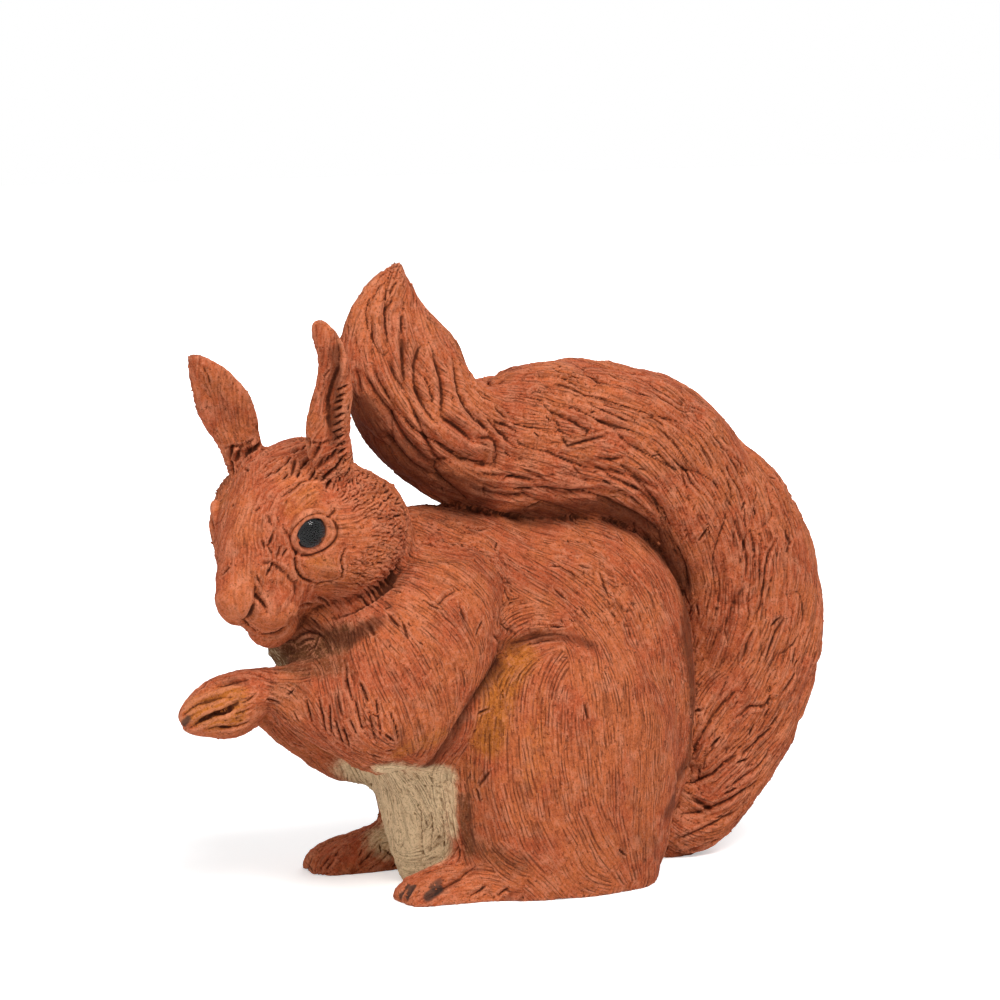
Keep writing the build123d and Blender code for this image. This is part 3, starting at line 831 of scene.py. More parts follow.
def picture_way(degrees, centre):
    """Turn a slope in the picture into a direction on the skin."""
    turn = math.radians(degrees)
    way = math.cos(turn) * to_right - math.sin(turn) * to_top
    return unit(way - (way @ facing[centre]) * facing[centre])


def pixel_nick(px, py, slope, length, width, depth=0.8, burr=0.3, twin=None):
    """Press the tool in at a pixel, with sizes in pixels."""
    mark = under_pixel(px, py)
    if mark is None:
        return
    centre = nearest_point(mark)
    run = picture_way(slope, centre)
    nick(centre, run, length * pixel, width * pixel, depth, burr)
    if twin:
        other = nearest_point(twin_of(skin[centre], twin == "face"))
        plane = head_left if twin == "face" else sideways
        run = run - 2 * (run @ plane) * plane
        run = unit(run - (run @ facing[other]) * facing[other])
        nick(other, run, length * pixel, width * pixel, depth, burr)


# %% [markdown]
# The face is cut with the finest tool. The list runs from the corners of the
# eye and the brow to the nostril, the mouth, the edge of the ruff and the chin.

# %% Face
face_grooves = (
    (0.8, 1.3, ((300, 547), (297, 553), (295.5, 560), (296, 568), (299, 575), (304, 579), (311, 582))),
    (0.6, 0.9, ((345, 549), (342, 556), (341, 562), (343, 570), (341, 577))),
    (0.6, 0.4, ((304, 579), (318, 584), (332, 581), (341, 577))),
    (0.7, 0.9, ((281, 497), (288, 493), (295, 488), (300, 483), (308, 480), (318, 478))),
    (0.8, 0.8, ((283, 527), (287, 534), (292, 543), (297, 553))),
    (0.9, 1.0, ((326, 519), (331, 515), (335, 509))),
    (0.6, 0.9, ((262, 541), (266, 551))),
    (0.6, 0.9, ((267, 545), (271, 552))),
    (0.6, 0.9, ((280, 547), (279, 555))),
    (0.6, 0.8, ((287, 549), (282, 556))),
    (1.0, 0.9, ((269, 517), (271, 524))),
    (0.8, 0.6, ((256, 510), (259, 508))),
    (1.0, 0.9, ((263, 563), (270, 563), (277, 566), (284, 571))),
    (1.5, 0.6, ((298, 585), (296, 595), (291, 605), (283, 614))),
    (1.3, 1.9, ((256, 588), (257, 595), (261, 601), (265, 608), (266, 612))),
    (1.3, 1.7, ((257, 597), (255, 605), (252, 612), (247, 619), (243, 622))),
    (1.0, 1.3, ((243, 622), (248, 627), (254, 631))),
    (3.0, 1.2, ((410, 522), (410, 542), (402, 564), (389, 583), (372, 597), (350, 609), (325, 617), (300, 622))),
    (1.3, 1.3, ((404, 510), (411, 525), (409, 545), (401, 566), (388, 585), (372, 598), (350, 611), (330, 618))),
    (1.1, 1.4, ((262, 635), (270, 635), (278, 633), (285, 629), (290, 623), (293, 617))),
    (1.4, 0.9, ((266, 573), (276, 570), (286, 574), (294, 583), (298, 595), (297, 608), (291, 620), (281, 630))),
)
for width, depth, path in face_grooves:
    groove(path, width, depth, twin="face")
throat_grooves = (
    (0.9, 1.1, ((294, 641), (300, 635), (308, 632), (317, 634), (322, 637))),
    (0.7, 0.7, ((298, 645), (306, 640), (316, 638))),
    (0.6, 0.5, ((318, 634), (316, 644), (310, 655))),
)
for width, depth, path in throat_grooves:
    groove(path, width, depth)
print("face and throat:", len(face_grooves) + len(throat_grooves), "cuts")

# %% [markdown]
# Between the ears short tufts stand out from deep nicks. The ruff is made with
# the same tool in rows that follow its edge, deepest at the edge and under the
# ear. Each ear has a long hollow and a ladder of nicks down its back edge.

# %% Crown
crown_nicks = (
    (231, 452, -70, 16, 5), (238, 455, -60, 18, 6), (247, 452, -55, 18, 6), (255, 448, -40, 16, 5),
    (226, 466, 95, 14, 4), (232, 470, 100, 16, 5), (244, 464, -45, 22, 4), (256, 460, -35, 22, 4),
    (266, 452, -30, 18, 5), (270, 462, -55, 14, 4), (262, 470, -60, 12, 4), (270, 475, -60, 10, 4),
    (276, 470, -75, 12, 4), (281, 466, -78, 16, 5), (287, 461, -75, 16, 4), (293, 466, -80, 20, 5),
    (297, 449, -72, 16, 5), (304, 447, -75, 14, 4), (309, 461, -65, 22, 6), (316, 452, -55, 20, 6),
    (322, 462, -50, 22, 6), (331, 458, -55, 22, 5), (312, 474, -60, 10, 4), (327, 475, -50, 16, 5),
    (296, 441, -80, 14, 4), (303, 440, -75, 14, 4), (288, 444, -75, 12, 4), (310, 442, -70, 12, 4),
    (336, 468, -50, 18, 5), (328, 484, -65, 10, 4), (298, 474, -70, 8, 3), (286, 476, -60, 8, 3),
)
for px, py, slope, length, width in crown_nicks:
    pixel_nick(px, py, slope, 1.3 * length, 1.1 * width, depth=1.5, burr=0.45)
print("crown:", len(crown_nicks), "nicks")

# %% Ruff: how far each row is from the edge, its nicks' length, width and depth
ruff_edge = np.array(
    ((342, 452), (354, 458), (366, 466), (380, 477), (390, 490), (400, 503), (408, 515), (411, 528),
     (410, 542), (406, 556), (400, 568), (391, 580), (380, 590), (366, 600))
)
ruff_heart = np.array((312, 540))
ruff_rows = (
    (3, 17, 3.4, 1.3), (10, 17, 3.0, 0.6), (18, 16, 2.8, 0.4), (26, 15, 2.8, 0.32), (35, 14, 2.6, 0.2),
)
ruff_step = 5.2
edge_length = np.concatenate([[0], np.cumsum(np.linalg.norm(np.diff(ruff_edge, axis=0), axis=1))])
for row, (inset, length, width, depth) in enumerate(ruff_rows):
    for at in np.arange(ruff_step * (1 + row % 2) / 2, edge_length[-1], ruff_step):
        spot = np.array([np.interp(at, edge_length, ruff_edge[:, axis]) for axis in (0, 1)])
        ray = unit(spot - ruff_heart)
        spot = spot - ray * inset + rng.normal(0, 1.6, 2)
        slope = math.degrees(math.atan2(ray[1], ray[0])) + rng.normal(0, 12)
        fade = 1 - 0.7 * at / edge_length[-1]
        pixel_nick(*spot, slope, length, width, depth=fade * depth, burr=0.3, twin="face")
print("ruff:", len(ruff_rows), "rows along", round(edge_length[-1] * pixel), "mm")

# %% Ears
ear_hollow = ((338, 340), (341, 354), (337, 368), (331, 385), (328, 400), (329, 420), (331, 438))
groove(ear_hollow, 1.5, 1.8, twin="face")
for py in range(388, 462, 7):
    pixel_nick(np.interp(py, (385, 420, 460), (341, 338, 343)), py, -28, 15, 3.6, depth=1.0, burr=0.5, twin="face")
ear_creases = (
    (0.8, 0.8, ((223, 449), (232, 447), (243, 446), (253, 441), (262, 443))),
    (0.6, 0.6, ((203, 368), (208, 376), (210, 384))),
    (0.8, 0.9, ((306, 440), (312, 442), (320, 443), (328, 441))),
)
for width, depth, path in ear_creases:
    groove(path, width, depth)
print("ears:", len(ear_creases), "creases and a ladder")

# %% [markdown]
# Paws and feet are scored with deep cuts between the fingers and the toes. The
# forearm has short gouges, and the folds of arm, haunch and belly are creased.

# %% Forepaws and forearms
paw_grooves = (
    (1.3, 1.6, ((215, 686), (224, 685), (233, 682), (242, 680), (250, 678))),
    (1.3, 1.8, ((184, 715), (190, 708), (197, 704), (206, 702), (215, 699), (224, 697), (231, 697))),
    (1.3, 1.8, ((190, 728), (198, 723), (206, 718), (215, 714), (226, 711), (233, 707), (238, 703))),
    (1.0, 1.4, ((206, 730), (216, 728), (228, 728), (238, 727), (246, 724), (252, 720))),
    (0.9, 0.9, ((196, 691), (203, 686), (209, 681))),
    (1.0, 0.8, ((248, 672), (258, 674), (266, 678), (275, 683))),
    (0.6, 0.6, ((243, 703), (250, 699), (256, 693))),
    (0.6, 0.5, ((236, 714), (246, 711), (254, 706))),
)
for width, depth, path in paw_grooves:
    groove(path, 0.9 * width, 0.8 * depth, twin="body")
gouges = (
    ((318, 697), (322, 716), (325, 731)), ((329, 705), (331, 732)), ((337, 695), (341, 715)),
    ((347, 680), (352, 700)), ((346, 668), (347, 688)), ((350, 722), (356, 733)), ((361, 684), (368, 700)),
    ((376, 700), (381, 736)), ((369, 713), (375, 738)), ((335, 722), (342, 742)), ((306, 700), (311, 722)),
    ((355, 700), (362, 728)), ((390, 712), (398, 738)), ((343, 728), (350, 748)), ((288, 694), (292, 690)),
)
gouge_width, gouge_depth = 0.7, 1.1
for path in gouges:
    groove(path, gouge_width, gouge_depth, twin="body")
print("paws and forearms:", len(paw_grooves) + len(gouges), "cuts on each side")

# %% Feet
foot_grooves = (
    (0.9, 0.9, ((406, 884), (402, 892), (400, 899))),
    (0.9, 0.9, ((415, 885), (410, 892), (406, 899))),
    (1.2, 1.4, ((430, 899), (438, 892), (446, 886), (455, 881), (465, 877), (474, 873))),
    (0.9, 1.1, ((452, 881), (459, 877), (466, 872), (474, 867))),
    (0.9, 1.1, ((469, 897), (477, 893), (486, 886))),
    (0.8, 0.9, ((499, 895), (507, 889))),
    (0.9, 0.9, ((404, 879), (413, 874), (425, 869), (440, 864), (453, 863))),
)
far_foot_grooves = (
    (0.8, 0.9, ((312, 857), (309, 865), (306, 870))),
    (0.9, 0.9, ((330, 856), (324, 863), (320, 869))),
    (0.9, 0.9, ((337, 853), (331, 862), (327, 868))),
    (1.0, 1.1, ((372, 852), (366, 859), (360, 864))),
    (0.8, 0.8, ((386, 850), (392, 856))),
)
for width, depth, path in foot_grooves + far_foot_grooves:
    groove(path, width, depth)
print("feet:", len(foot_grooves) + len(far_foot_grooves), "cuts")

# %% Shoulder, haunch and belly
body_grooves = (
    (3.0, 0.9, ((495, 650), (510, 642), (530, 637), (550, 634), (568, 637), (585, 643))),
    (1.1, 1.2, ((512, 643), (530, 637), (540, 633), (556, 632), (566, 633))),
    (0.9, 1.0, ((528, 644), (542, 640), (556, 638))),
    (4.0, 2.2, ((506, 652), (498, 668), (484, 691), (470, 712), (457, 732), (446, 749), (434, 764))),
    (1.6, 1.8, ((503, 655), (495, 669), (481, 691), (467, 712), (454, 732), (443, 749), (431, 763))),
    (8.0, -1.6, ((476, 528), (488, 550), (494, 575), (495, 600), (493, 622))),
    (1.3, 1.6, ((493, 615), (495, 624), (494, 634), (500, 642))),
    (1.6, 1.4, ((500, 648), (500, 656), (502, 664))),
    (1.0, 1.3, ((487, 560), (496, 572), (504, 582), (509, 583))),
    (0.7, 0.9, ((468, 528), (478, 532), (486, 530))),
    (0.7, 0.9, ((486, 545), (493, 552), (496, 545))),
    (1.0, 1.2, ((495, 575), (503, 586), (511, 600))),
    (0.8, 0.9, ((476, 548), (484, 556), (492, 560))),
    (0.9, 0.8, ((437, 606), (446, 596), (458, 590))),
    (1.1, 1.1, ((500, 622), (506, 628), (514, 632))),
    (0.9, 0.9, ((600, 572), (606, 585), (610, 598))),
    (0.9, 0.8, ((560, 566), (572, 572), (580, 580))),
    (1.0, 1.2, ((452, 822), (455, 840), (457, 860))),
    (0.8, 0.7, ((430, 808), (432, 830), (430, 852))),
    (0.8, 0.6, ((418, 800), (420, 830), (422, 855))),
    (0.8, 0.6, ((441, 800), (444, 825), (443, 850))),
)
for width, depth, path in body_grooves:
    groove(path, width, depth, twin="body")
print("body:", len(body_grooves), "creases on each side")

# %% [markdown]
# The tail's long locks are the deepest marks. The knife splits the plume into
# forks, and then runs down the back of the tail and round its bend.

# %% Forks in the plume
plume_grooves = (
    (1.8, 2.4, ((421, 346), (417, 360), (416, 380), (420, 398), (427, 412), (433, 419))),
    (1.5, 2.0, ((433, 352), (438, 366), (442, 382), (443, 398), (442, 412))),
    (1.5, 2.0, ((452, 356), (456, 375), (458, 392), (465, 407), (475, 419), (486, 429), (497, 438))),
    (1.1, 1.1, ((469, 372), (473, 385), (482, 397), (491, 401))),
    (1.8, 2.3, ((442, 417), (452, 423), (462, 431), (473, 441))),
    (1.7, 2.4, ((478, 438), (490, 438), (496, 442), (497, 455), (497, 466))),
    (1.3, 1.4, ((425, 424), (434, 439), (446, 451), (462, 460), (480, 465), (495, 466))),
    (2.0, 2.2, ((362, 372), (372, 386), (382, 402), (392, 418), (404, 436), (418, 451), (434, 466))),
    (1.5, 1.9, ((408, 398), (414, 411), (420, 425), (426, 440), (433, 454), (441, 466))),
    (1.2, 1.4, ((372, 368), (383, 388), (395, 407))),
    (2.2, 2.6, ((402, 338), (405, 355), (406, 372), (405, 391))),
    (1.4, 1.6, ((390, 362), (396, 378), (404, 391))),
    (1.2, 1.4, ((349, 374), (353, 387))),
    (1.2, 1.4, ((357, 371), (362, 390))),
    (1.3, 1.5, ((383, 313), (388, 306), (394, 300))),
    (1.0, 1.2, ((402, 317), (401, 332))),
    (1.0, 1.1, ((371, 316), (372, 340))),
    (0.9, 1.0, ((376, 285), (372, 298))),
    (1.4, 1.5, ((384, 434), (398, 448), (412, 462), (430, 475))),
)
for width, depth, path in plume_grooves:
    groove(path, 0.95 * width, depth, burr=0.4, twin="body")
print("plume:", len(plume_grooves), "cuts")

# %% Locks of the tail
tail_grooves = (
    (1.0, 1.2, ((664, 448), (676, 462), (688, 472), (692, 483), (700, 492), (707, 497))),
    (1.3, 1.3, ((714, 446), (724, 462), (734, 478), (742, 490), (746, 505), (747, 520))),
    (1.0, 0.9, ((716, 444), (730, 452), (740, 463), (744, 478))),
    (1.4, 1.3, ((736, 520), (740, 535), (745, 548), (747, 562), (746, 580))),
    (1.0, 1.2, ((776, 540), (770, 553), (766, 568), (765, 588), (762, 602), (756, 618))),
    (3.0, 1.8, ((748, 582), (737, 600), (727, 620), (716, 638), (706, 654), (698, 672))),
    (1.3, 1.3, ((783, 620), (776, 632), (770, 648), (765, 664))),
    (1.2, 1.1, ((753, 630), (746, 645), (743, 662))),
    (1.0, 1.0, ((786, 532), (790, 542), (788, 551))),
    (1.2, 1.3, ((758, 456), (768, 466), (778, 480), (788, 496), (795, 512))),
    (1.8, 1.8, ((737, 690), (722, 704), (709, 722), (699, 740), (690, 757), (683, 772))),
    (1.4, 1.4, ((772, 698), (764, 706), (750, 706), (739, 716))),
    (1.5, 1.7, ((737, 755), (724, 763), (713, 774), (700, 779), (685, 783))),
    (1.4, 1.3, ((780, 712), (770, 730), (757, 743), (742, 755))),
    (1.3, 1.2, ((768, 757), (757, 768), (742, 778), (726, 788))),
    (1.5, 1.5, ((762, 779), (742, 792), (721, 804), (700, 812), (680, 814))),
    (1.3, 1.2, ((736, 812), (715, 824), (695, 832), (675, 840))),
    (1.3, 1.2, ((718, 838), (701, 846), (686, 851))),
    (1.3, 1.4, ((553, 369), (562, 372), (572, 375), (582, 378))),
    (1.1, 1.2, ((556, 377), (566, 379), (576, 384))),
    (1.2, 1.3, ((560, 383), (574, 389), (588, 395), (600, 399))),
    (1.0, 0.9, ((585, 372), (598, 378), (612, 384))),
    (1.2, 1.4, ((590, 404), (604, 410), (618, 416), (630, 424))),
    (1.6, 1.8, ((598, 420), (610, 423), (620, 427), (632, 430))),
    (1.5, 1.6, ((571, 420), (580, 426), (588, 430), (586, 438))),
    (1.2, 1.4, ((562, 436), (568, 446), (576, 444), (590, 440), (606, 436))),
    (1.4, 1.3, ((540, 400), (552, 410), (566, 418), (580, 424))),
    (1.8, 1.6, ((482, 378), (490, 381), (500, 380))),
    (1.3, 1.2, ((532, 392), (536, 388), (546, 392))),
    (1.2, 1.2, ((488, 420), (498, 430), (508, 440), (517, 448))),
    (1.3, 1.3, ((643, 418), (654, 417), (664, 425))),
    (1.1, 1.1, ((655, 392), (662, 398), (672, 402), (682, 408), (694, 410))),
    (1.2, 1.2, ((664, 384), (678, 392), (690, 402), (702, 410))),
    (1.5, 1.5, ((622, 466), (634, 474), (644, 482), (656, 488))),
    (1.6, 1.6, ((600, 458), (612, 460), (622, 458))),
    (1.2, 1.1, ((586, 462), (600, 468), (612, 478), (624, 484), (640, 490))),
    (2.4, 2.0, ((644, 494), (656, 502), (664, 512), (668, 524))),
    (2.0, 1.6, ((560, 494), (580, 491), (600, 490), (618, 492), (634, 498))),
    (2.0, 1.6, ((616, 506), (632, 514), (646, 524), (660, 536))),
    (1.4, 1.2, ((480, 474), (500, 476), (520, 478), (545, 480))),
    (1.4, 1.2, ((470, 486), (490, 492), (510, 496), (530, 496))),
    (1.2, 1.0, ((660, 430), (672, 440), (682, 452), (690, 464))),
    (1.2, 1.0, ((690, 430), (700, 442), (708, 456), (714, 470))),
    (1.2, 1.2, ((714, 440), (720, 450), (728, 462), (732, 476))),
)
for width, depth, path in tail_grooves:
    groove(path, 0.75 * width, 0.8 * depth, burr=0.4, twin="body")
print("cuts:", cuts.min().round(2), cuts.max().round(2))

# %% [markdown]
# ## Random nicks
# Between the strokes the tool also dug in here and there, and tore the clay.

# %% Nicks along the flow
nick_rates = {
    "torso": 0.3, "haunch": 0.1, "shoulder": 0.15, "forearm": 0.4, "cheek": 0.1, "head": 0.4,
    "tail_root": 0.5, "tail_bend": 0.5, "tail_back": 0.5, "tail_plume": 0.3, "belly_panel": 0.3,
    "hind_foot": 0.4, "ear": 0.1,
}
nicks_per_area = 1 / 75
nick_length, nick_width, nick_depth, nick_burr = 4.6, 1.0, 0.6, 0.22
point_area = (voxel / mm) ** 2
picked = np.flatnonzero(rng.random(len(skin)) < by_lump(nick_rates, 0) * nicks_per_area * point_area)
for centre in picked:
    turn = rng.normal(0, 0.45)
    run = math.cos(turn) * flow[centre] + math.sin(turn) * np.cross(facing[centre], flow[centre])
    size = rng.lognormal(0, 0.35)
    run = run * rng.choice((-1, 1))
    nick(centre, run, nick_length * size, nick_width * size, nick_depth * size, nick_burr * size)
print("random nicks:", len(picked))

# %% [markdown]
# ## Eyelids
# A soft roll of clay is laid round each glass eye and pressed down, a little
# pointed at the back, with a groove round it. A torus pushed into the face would
# show a seam, so the skin itself is raised. No stroke or nick runs over it.

# %% Roll, groove and a calm rim
lid_roll, lid_groove, lid_softness = 6.1, 7.3, 0.55
roll_heights = {"left": 0.45, "right": 1.2}
for side, (middle, gaze) in eyes.items():
    middle = middle / mm
    close = near_points(middle, 14.0)
    offset = skin[close] - middle
    back = unit(-head_forward + (head_forward @ gaze) * gaze)
    along = offset @ back
    across = offset @ np.cross(gaze, back)
    radius = np.hypot(along, across)
    almond = radius * (1 - 0.12 * (along**2 - across**2) / np.maximum(radius, 1) ** 2)
    ring = roll_heights[side] * np.exp(-(((almond - lid_roll) / lid_softness) ** 2))
    ring -= 0.8 * np.exp(-(((almond - lid_groove) / lid_softness) ** 2))
    height[close] *= np.clip((radius - 7) / 3, 0, 1)
    cuts[close] = cuts[close] * np.clip((radius - 6) / 1.5, 0, 1) + ring * (offset @ gaze > -4)
    print(side, "lid:", len(close), "points")

# %% [markdown]
# ## The comb's patches
# A fine comb leaves patches of parallel lines a little over a millimetre apart.
# They are too fine for the skin's points, and belong in the material. So every
# face belongs to one patch, and each of its corners stores how far it is across
# the lines and along them, and the patch's number. Kept on the corners and not
# on the points, the patches meet cleanly.

# %% Where the patches are and how they bend
patch_size = 12.0
bend_strides = 6
shuffled = rng.permutation(len(skin))
coarse = np.floor(skin[shuffled] / patch_size).astype(int) @ np.array([1, 1000, 1000000])
centres = shuffled[np.unique(coarse, return_index=True)[1]]
turns = rng.normal(0, 0.06, len(centres))[:, None]
patch_sides = np.cross(facing[centres], flow[centres])
patch_runs = np.cos(turns) * flow[centres] + np.sin(turns) * patch_sides
patch_sides = np.cross(facing[centres], patch_runs)
patch_ranks = rng.uniform(0, 60, len(centres))
ends = []
for way in (1, -1):
    bent = flow[walks[way][bend_strides - 1][centres]]
    bent *= np.where((bent * patch_runs).sum(1) < 0, -1, 1)[:, None]
    ends.append(np.arctan2((bent * patch_sides).sum(1), (bent * patch_runs).sum(1)))
patch_bends = np.clip((ends[0] - ends[1]) / (2 * bend_strides * stride), -0.05, 0.05)
print("patches:", len(centres))

# %% Give every point to a patch, and every corner its place in it
patch_of = np.zeros(len(skin), int)
best = np.full(len(skin), np.inf)
for number, centre in enumerate(centres):
    close = near_points(skin[centre], 2.0 * patch_size)
    offset = skin[close] - skin[centre]
    away = (offset @ patch_runs[number] / 1.7) ** 2 + (offset @ patch_sides[number]) ** 2 + patch_ranks[number]
    away += 4 * (offset @ facing[centre]) ** 2 + np.where(facing[close] @ facing[centre] > 0, 0, 1000)
    nearer = away < best[close]
    best[close[nearer]] = away[nearer]
    patch_of[close[nearer]] = number


def comb_corners(faces):
    """Give each corner of some faces its place in its patch."""
    patch = np.repeat(patch_of[faces[:, 0]], 4)
    offset = skin[faces.ravel()] - skin[centres[patch]]
    along = (offset * patch_runs[patch]).sum(1)
    across = (offset * patch_sides[patch]).sum(1) - patch_bends[patch] / 2 * along**2
    return np.stack([across, along, patch], 1)


print("points in a patch:", len(skin) // len(centres))

# %% [markdown]
# ## Coloured slips and painted shade
# Ochre is brushed on the fingers, the brow and the front of the thighs, cream on
# the belly, and a darker brown on the claws. A dark brown on the throat is partly
# its own colour and partly painted shade under the jaw, and the same brown paints
# shade in the folds of belly and haunch. More painted shade, in a darker brown,
# goes where shade falls: under the tail, in the ear's hollow, under the jaw and
# in the folds of arm, haunch and belly. By hand this is Vertex Paint. Here each
# stroke of the brush is a list of pixels with a radius in millimetres and a
# strength, and the far side gets the same strokes.

# %% The strokes of the brush
slips_and_shade = {
    "ochre": (
        (((200, 712), (215, 708), (232, 700)), 6, 1), (((215, 720), (235, 716)), 5, 0.9),
        (((292, 507), (306, 497)), 5, 0.5), (((312, 560), (330, 566)), 3.5, 0.5),
        (((520, 655), (500, 690), (488, 740)), 7, 0.9), (((540, 700), (530, 790)), 6, 0.4),
        (((400, 752), (440, 735)), 4, 0.6), (((470, 760), (475, 790)), 5, 0.4),
    ),
    "cream": (
        (((400, 785), (405, 850)), 12, 1), (((425, 780), (432, 850)), 10, 1), (((385, 770), (445, 775)), 5, 0.9),
        (((450, 790), (452, 830)), 4, 0.8), (((270, 732), (320, 750), (375, 775)), 2, 0.8),
    ),
    # A dark brown, partly the throat's own colour and partly painted shade under the jaw; the lower strokes paint
    # shade in the folds of belly and haunch.
    "throat": (
        (((275, 655), (310, 650), (345, 638)), 7, 1), (((290, 668), (340, 665)), 5, 0.7),
        (((345, 638), (370, 628)), 4, 0.7), (((465, 800), (468, 850)), 3.5, 0.75),
        (((480, 850), (520, 862)), 5, 0.5), (((280, 690), (300, 688)), 5, 0.5),
    ),
    "claw": (
        (((400, 897), (408, 886)), 1, 1), (((406, 898), (414, 886)), 1, 1), (((428, 897), (440, 888)), 2, 0.8),
        (((432, 886), (440, 880)), 1.5, 0.6), (((306, 869), (311, 860)), 1.2, 0.9),
        (((318, 868), (325, 859)), 1.2, 0.9), (((184, 724), (189, 718)), 1.2, 0.8),
    ),
    # Painted shade: a dark brown brushed where shade falls, under the tail and the jaw, in the ear's hollow and in the
    # folds of arm, haunch and belly.
    "smoke": (
        (((352, 420), (372, 450), (400, 478), (440, 500)), 7, 1),
        (((440, 505), (520, 512), (600, 508), (640, 522)), 6, 1),
        (((655, 535), (675, 575), (688, 640), (694, 700)), 7, 1), (((694, 700), (688, 760), (668, 812)), 4.5, 0.9),
        (((300, 625), (350, 640), (375, 622)), 4, 0.9), (((390, 603), (412, 560), (412, 530)), 2, 0.5),
        (((498, 664), (470, 705), (430, 764)), 4, 1), (((500, 648), (530, 636), (570, 637), (592, 645)), 3, 0.8),
        (((478, 780), (482, 850)), 8, 0.5), (((360, 415), (385, 450), (425, 480), (470, 497)), 12, 1),
        (((336, 350), (333, 440)), 2.5, 0.9), (((228, 452), (240, 450)), 3, 0.5),
        (((480, 560), (500, 620)), 6, 0.45), (((505, 575), (560, 590)), 7, 0.35), (((640, 835), (655, 850)), 5, 0.5),
        (((445, 870), (520, 862)), 4, 0.4), (((410, 890), (450, 885)), 4, 0.4),
    ),
}


# %% Brush them on
def from_path(path):
    """Give how far the skin and its twin side are from a line of pixels."""
    best = np.full(len(skin), np.inf)
    for one, other in spans_of(path):
        run = other - one
        share = np.clip((near_twin - one) @ run / (run @ run), 0, 1)
        best = np.minimum(best, np.linalg.norm(near_twin - one - share[:, None] * run, axis=1))
    return best


brush_rounds = 3
paint = np.zeros((len(skin), len(slips_and_shade)))
for column, brushed in enumerate(slips_and_shade.values()):
    for path, radius, strength in brushed:
        cover = strength * np.clip(1.5 - 1.1 * from_path(path) / radius, 0, 1)
        paint[:, column] = np.maximum(paint[:, column], cover)
cream_column = list(slips_and_shade).index("cream")
throat_column = list(slips_and_shade).index("throat")
paint[:, cream_column] = np.maximum(paint[:, cream_column], 0.9 * on("belly_panel"))
chest = np.clip(1 - np.abs(skin[:, 0]) / 14, 0, 1) * np.clip((-skin[:, 1] - 20) / 10, 0, 1)
chest *= np.clip((skin[:, 2] - 8) / 10, 0, 1) * np.clip((88 - skin[:, 2]) / 10, 0, 1) * on("torso")
paint[:, cream_column] = np.maximum(paint[:, cream_column], np.minimum(1.4 * chest, 1))
arm_outside = on("right_shoulder", "right_forearm", "right_forepaw") & (facing[:, 0] < 0)
paint[arm_outside, cream_column : throat_column + 1] = 0
paint = spread(paint, brush_rounds)
print("painted:", (paint > 0.3).sum(0))

# %% [markdown]
# ## Back to one piece for each lump
# The skin is cut along the joins, so that each lump is a piece of its own again
# and stands for its solid. Booleans would do it slowly and leave slivers, so
# whole faces are shared out among the lumps. A cut edge is closed with a hidden
# wall: it goes straight in under the skin and then across. The pieces meet edge
# to edge and share the shading of the whole skin, so the joins don't show.

# %% Give every face to one lump
label_rounds = 3


def calm_labels(labels):
    """Straighten the borders between lumps and give stray specks to their surroundings."""
    best = np.zeros(len(skin))
    winner = labels.copy()
    for number in np.unique(labels):
        share = spread((labels == number).astype(float), label_rounds)
        better = share > best
        best[better] = share[better]
        winner[better] = number
    return winner


def drop_specks(labels):
    """Give every patch but the largest of each lump to a neighbour."""
    labels = labels.copy()
    same = labels[edges[:, 0]] == labels[edges[:, 1]]
    patch = islands_of(len(skin), edges[same])
    size = np.bincount(patch, minlength=len(skin))
    stray = np.zeros(len(skin), bool)
    for number in np.unique(labels):
        mine = np.flatnonzero(labels == number)
        stray[mine] = patch[mine] != patch[mine][size[patch[mine]].argmax()]
    while stray.any():
        ends = np.concatenate([edges, edges[:, ::-1]])
        rescued = ends[stray[ends[:, 0]] & ~stray[ends[:, 1]]]
        labels[rescued[:, 0]] = labels[rescued[:, 1]]
        stray[rescued[:, 0]] = False
    return labels


lump_of = drop_specks(calm_labels(lump_of))
face_label = np.sort(lump_of[quads], axis=1)[:, 1]
print("faces of each lump:", np.bincount(face_label).tolist())

# %% [markdown]
# A patch of skin is open at its rim, and a rim is found by the sides that only
# one face has. Each rim gets a short wall down into the clay and then a cap
# that meets in one hidden point, so the piece is closed.

# %% Close a patch of the skin from below
wall_depth = 1.2
core_depth = 3.0


def rims_of(faces):
    """Give the closed loops of points round a patch."""
    sides = quad_edges(faces)
    known = set(map(tuple, sides.tolist()))
    follow = {}
    for a, b in known:
        if (b, a) not in known:
            follow.setdefault(a, []).append(b)
    rims = []
    while follow:
        first = next(iter(follow))
        rim = [first]
        here = follow[first].pop()
        while here != first:
            rim.append(here)
            here = follow[here].pop()
        for spent in [a for a in set(rim) if not follow[a]]:
            del follow[spent]
        rims.append(rim)
    return rims


def closed_patch(number):
    """Give a lump's points, its faces, and the number of each point on the skin."""
    faces = quads[face_label == number]
    used, small = np.unique(faces, return_inverse=True)
    faces = small.reshape(-1, 4)
    places = [shaped[used]]
    all_faces = faces.tolist()
    count = len(used)
    for rim in rims_of(faces):
        rim_points = shaped[used[rim]]
        inner = rim_points - wall_depth * facing[used[rim]]
        heart = inner.mean(0) - core_depth * unit(facing[used[rim]].mean(0))
        places += [inner, heart[None]]
        for k, point in enumerate(rim):
            after = (k + 1) % len(rim)
            all_faces.append([rim[after], point, count + k, count + after])
            all_faces.append([count + after, count + k, count + len(rim)])
        count += len(rim) + 1
    return np.vstack(places), all_faces, used


# %% Turn points and faces into an object
def mesh_piece(name, places, faces):
    """Make an object of points in millimetres and faces, shaded smooth."""
    mesh = bpy.data.meshes.new(name)
    mesh.from_pydata((places * mm).tolist(), [], faces)
    mesh.polygons.foreach_set("use_smooth", np.ones(len(faces), bool))
    piece = bpy.data.objects.new(name, mesh)
    bpy.context.scene.collection.objects.link(piece)
    return piece


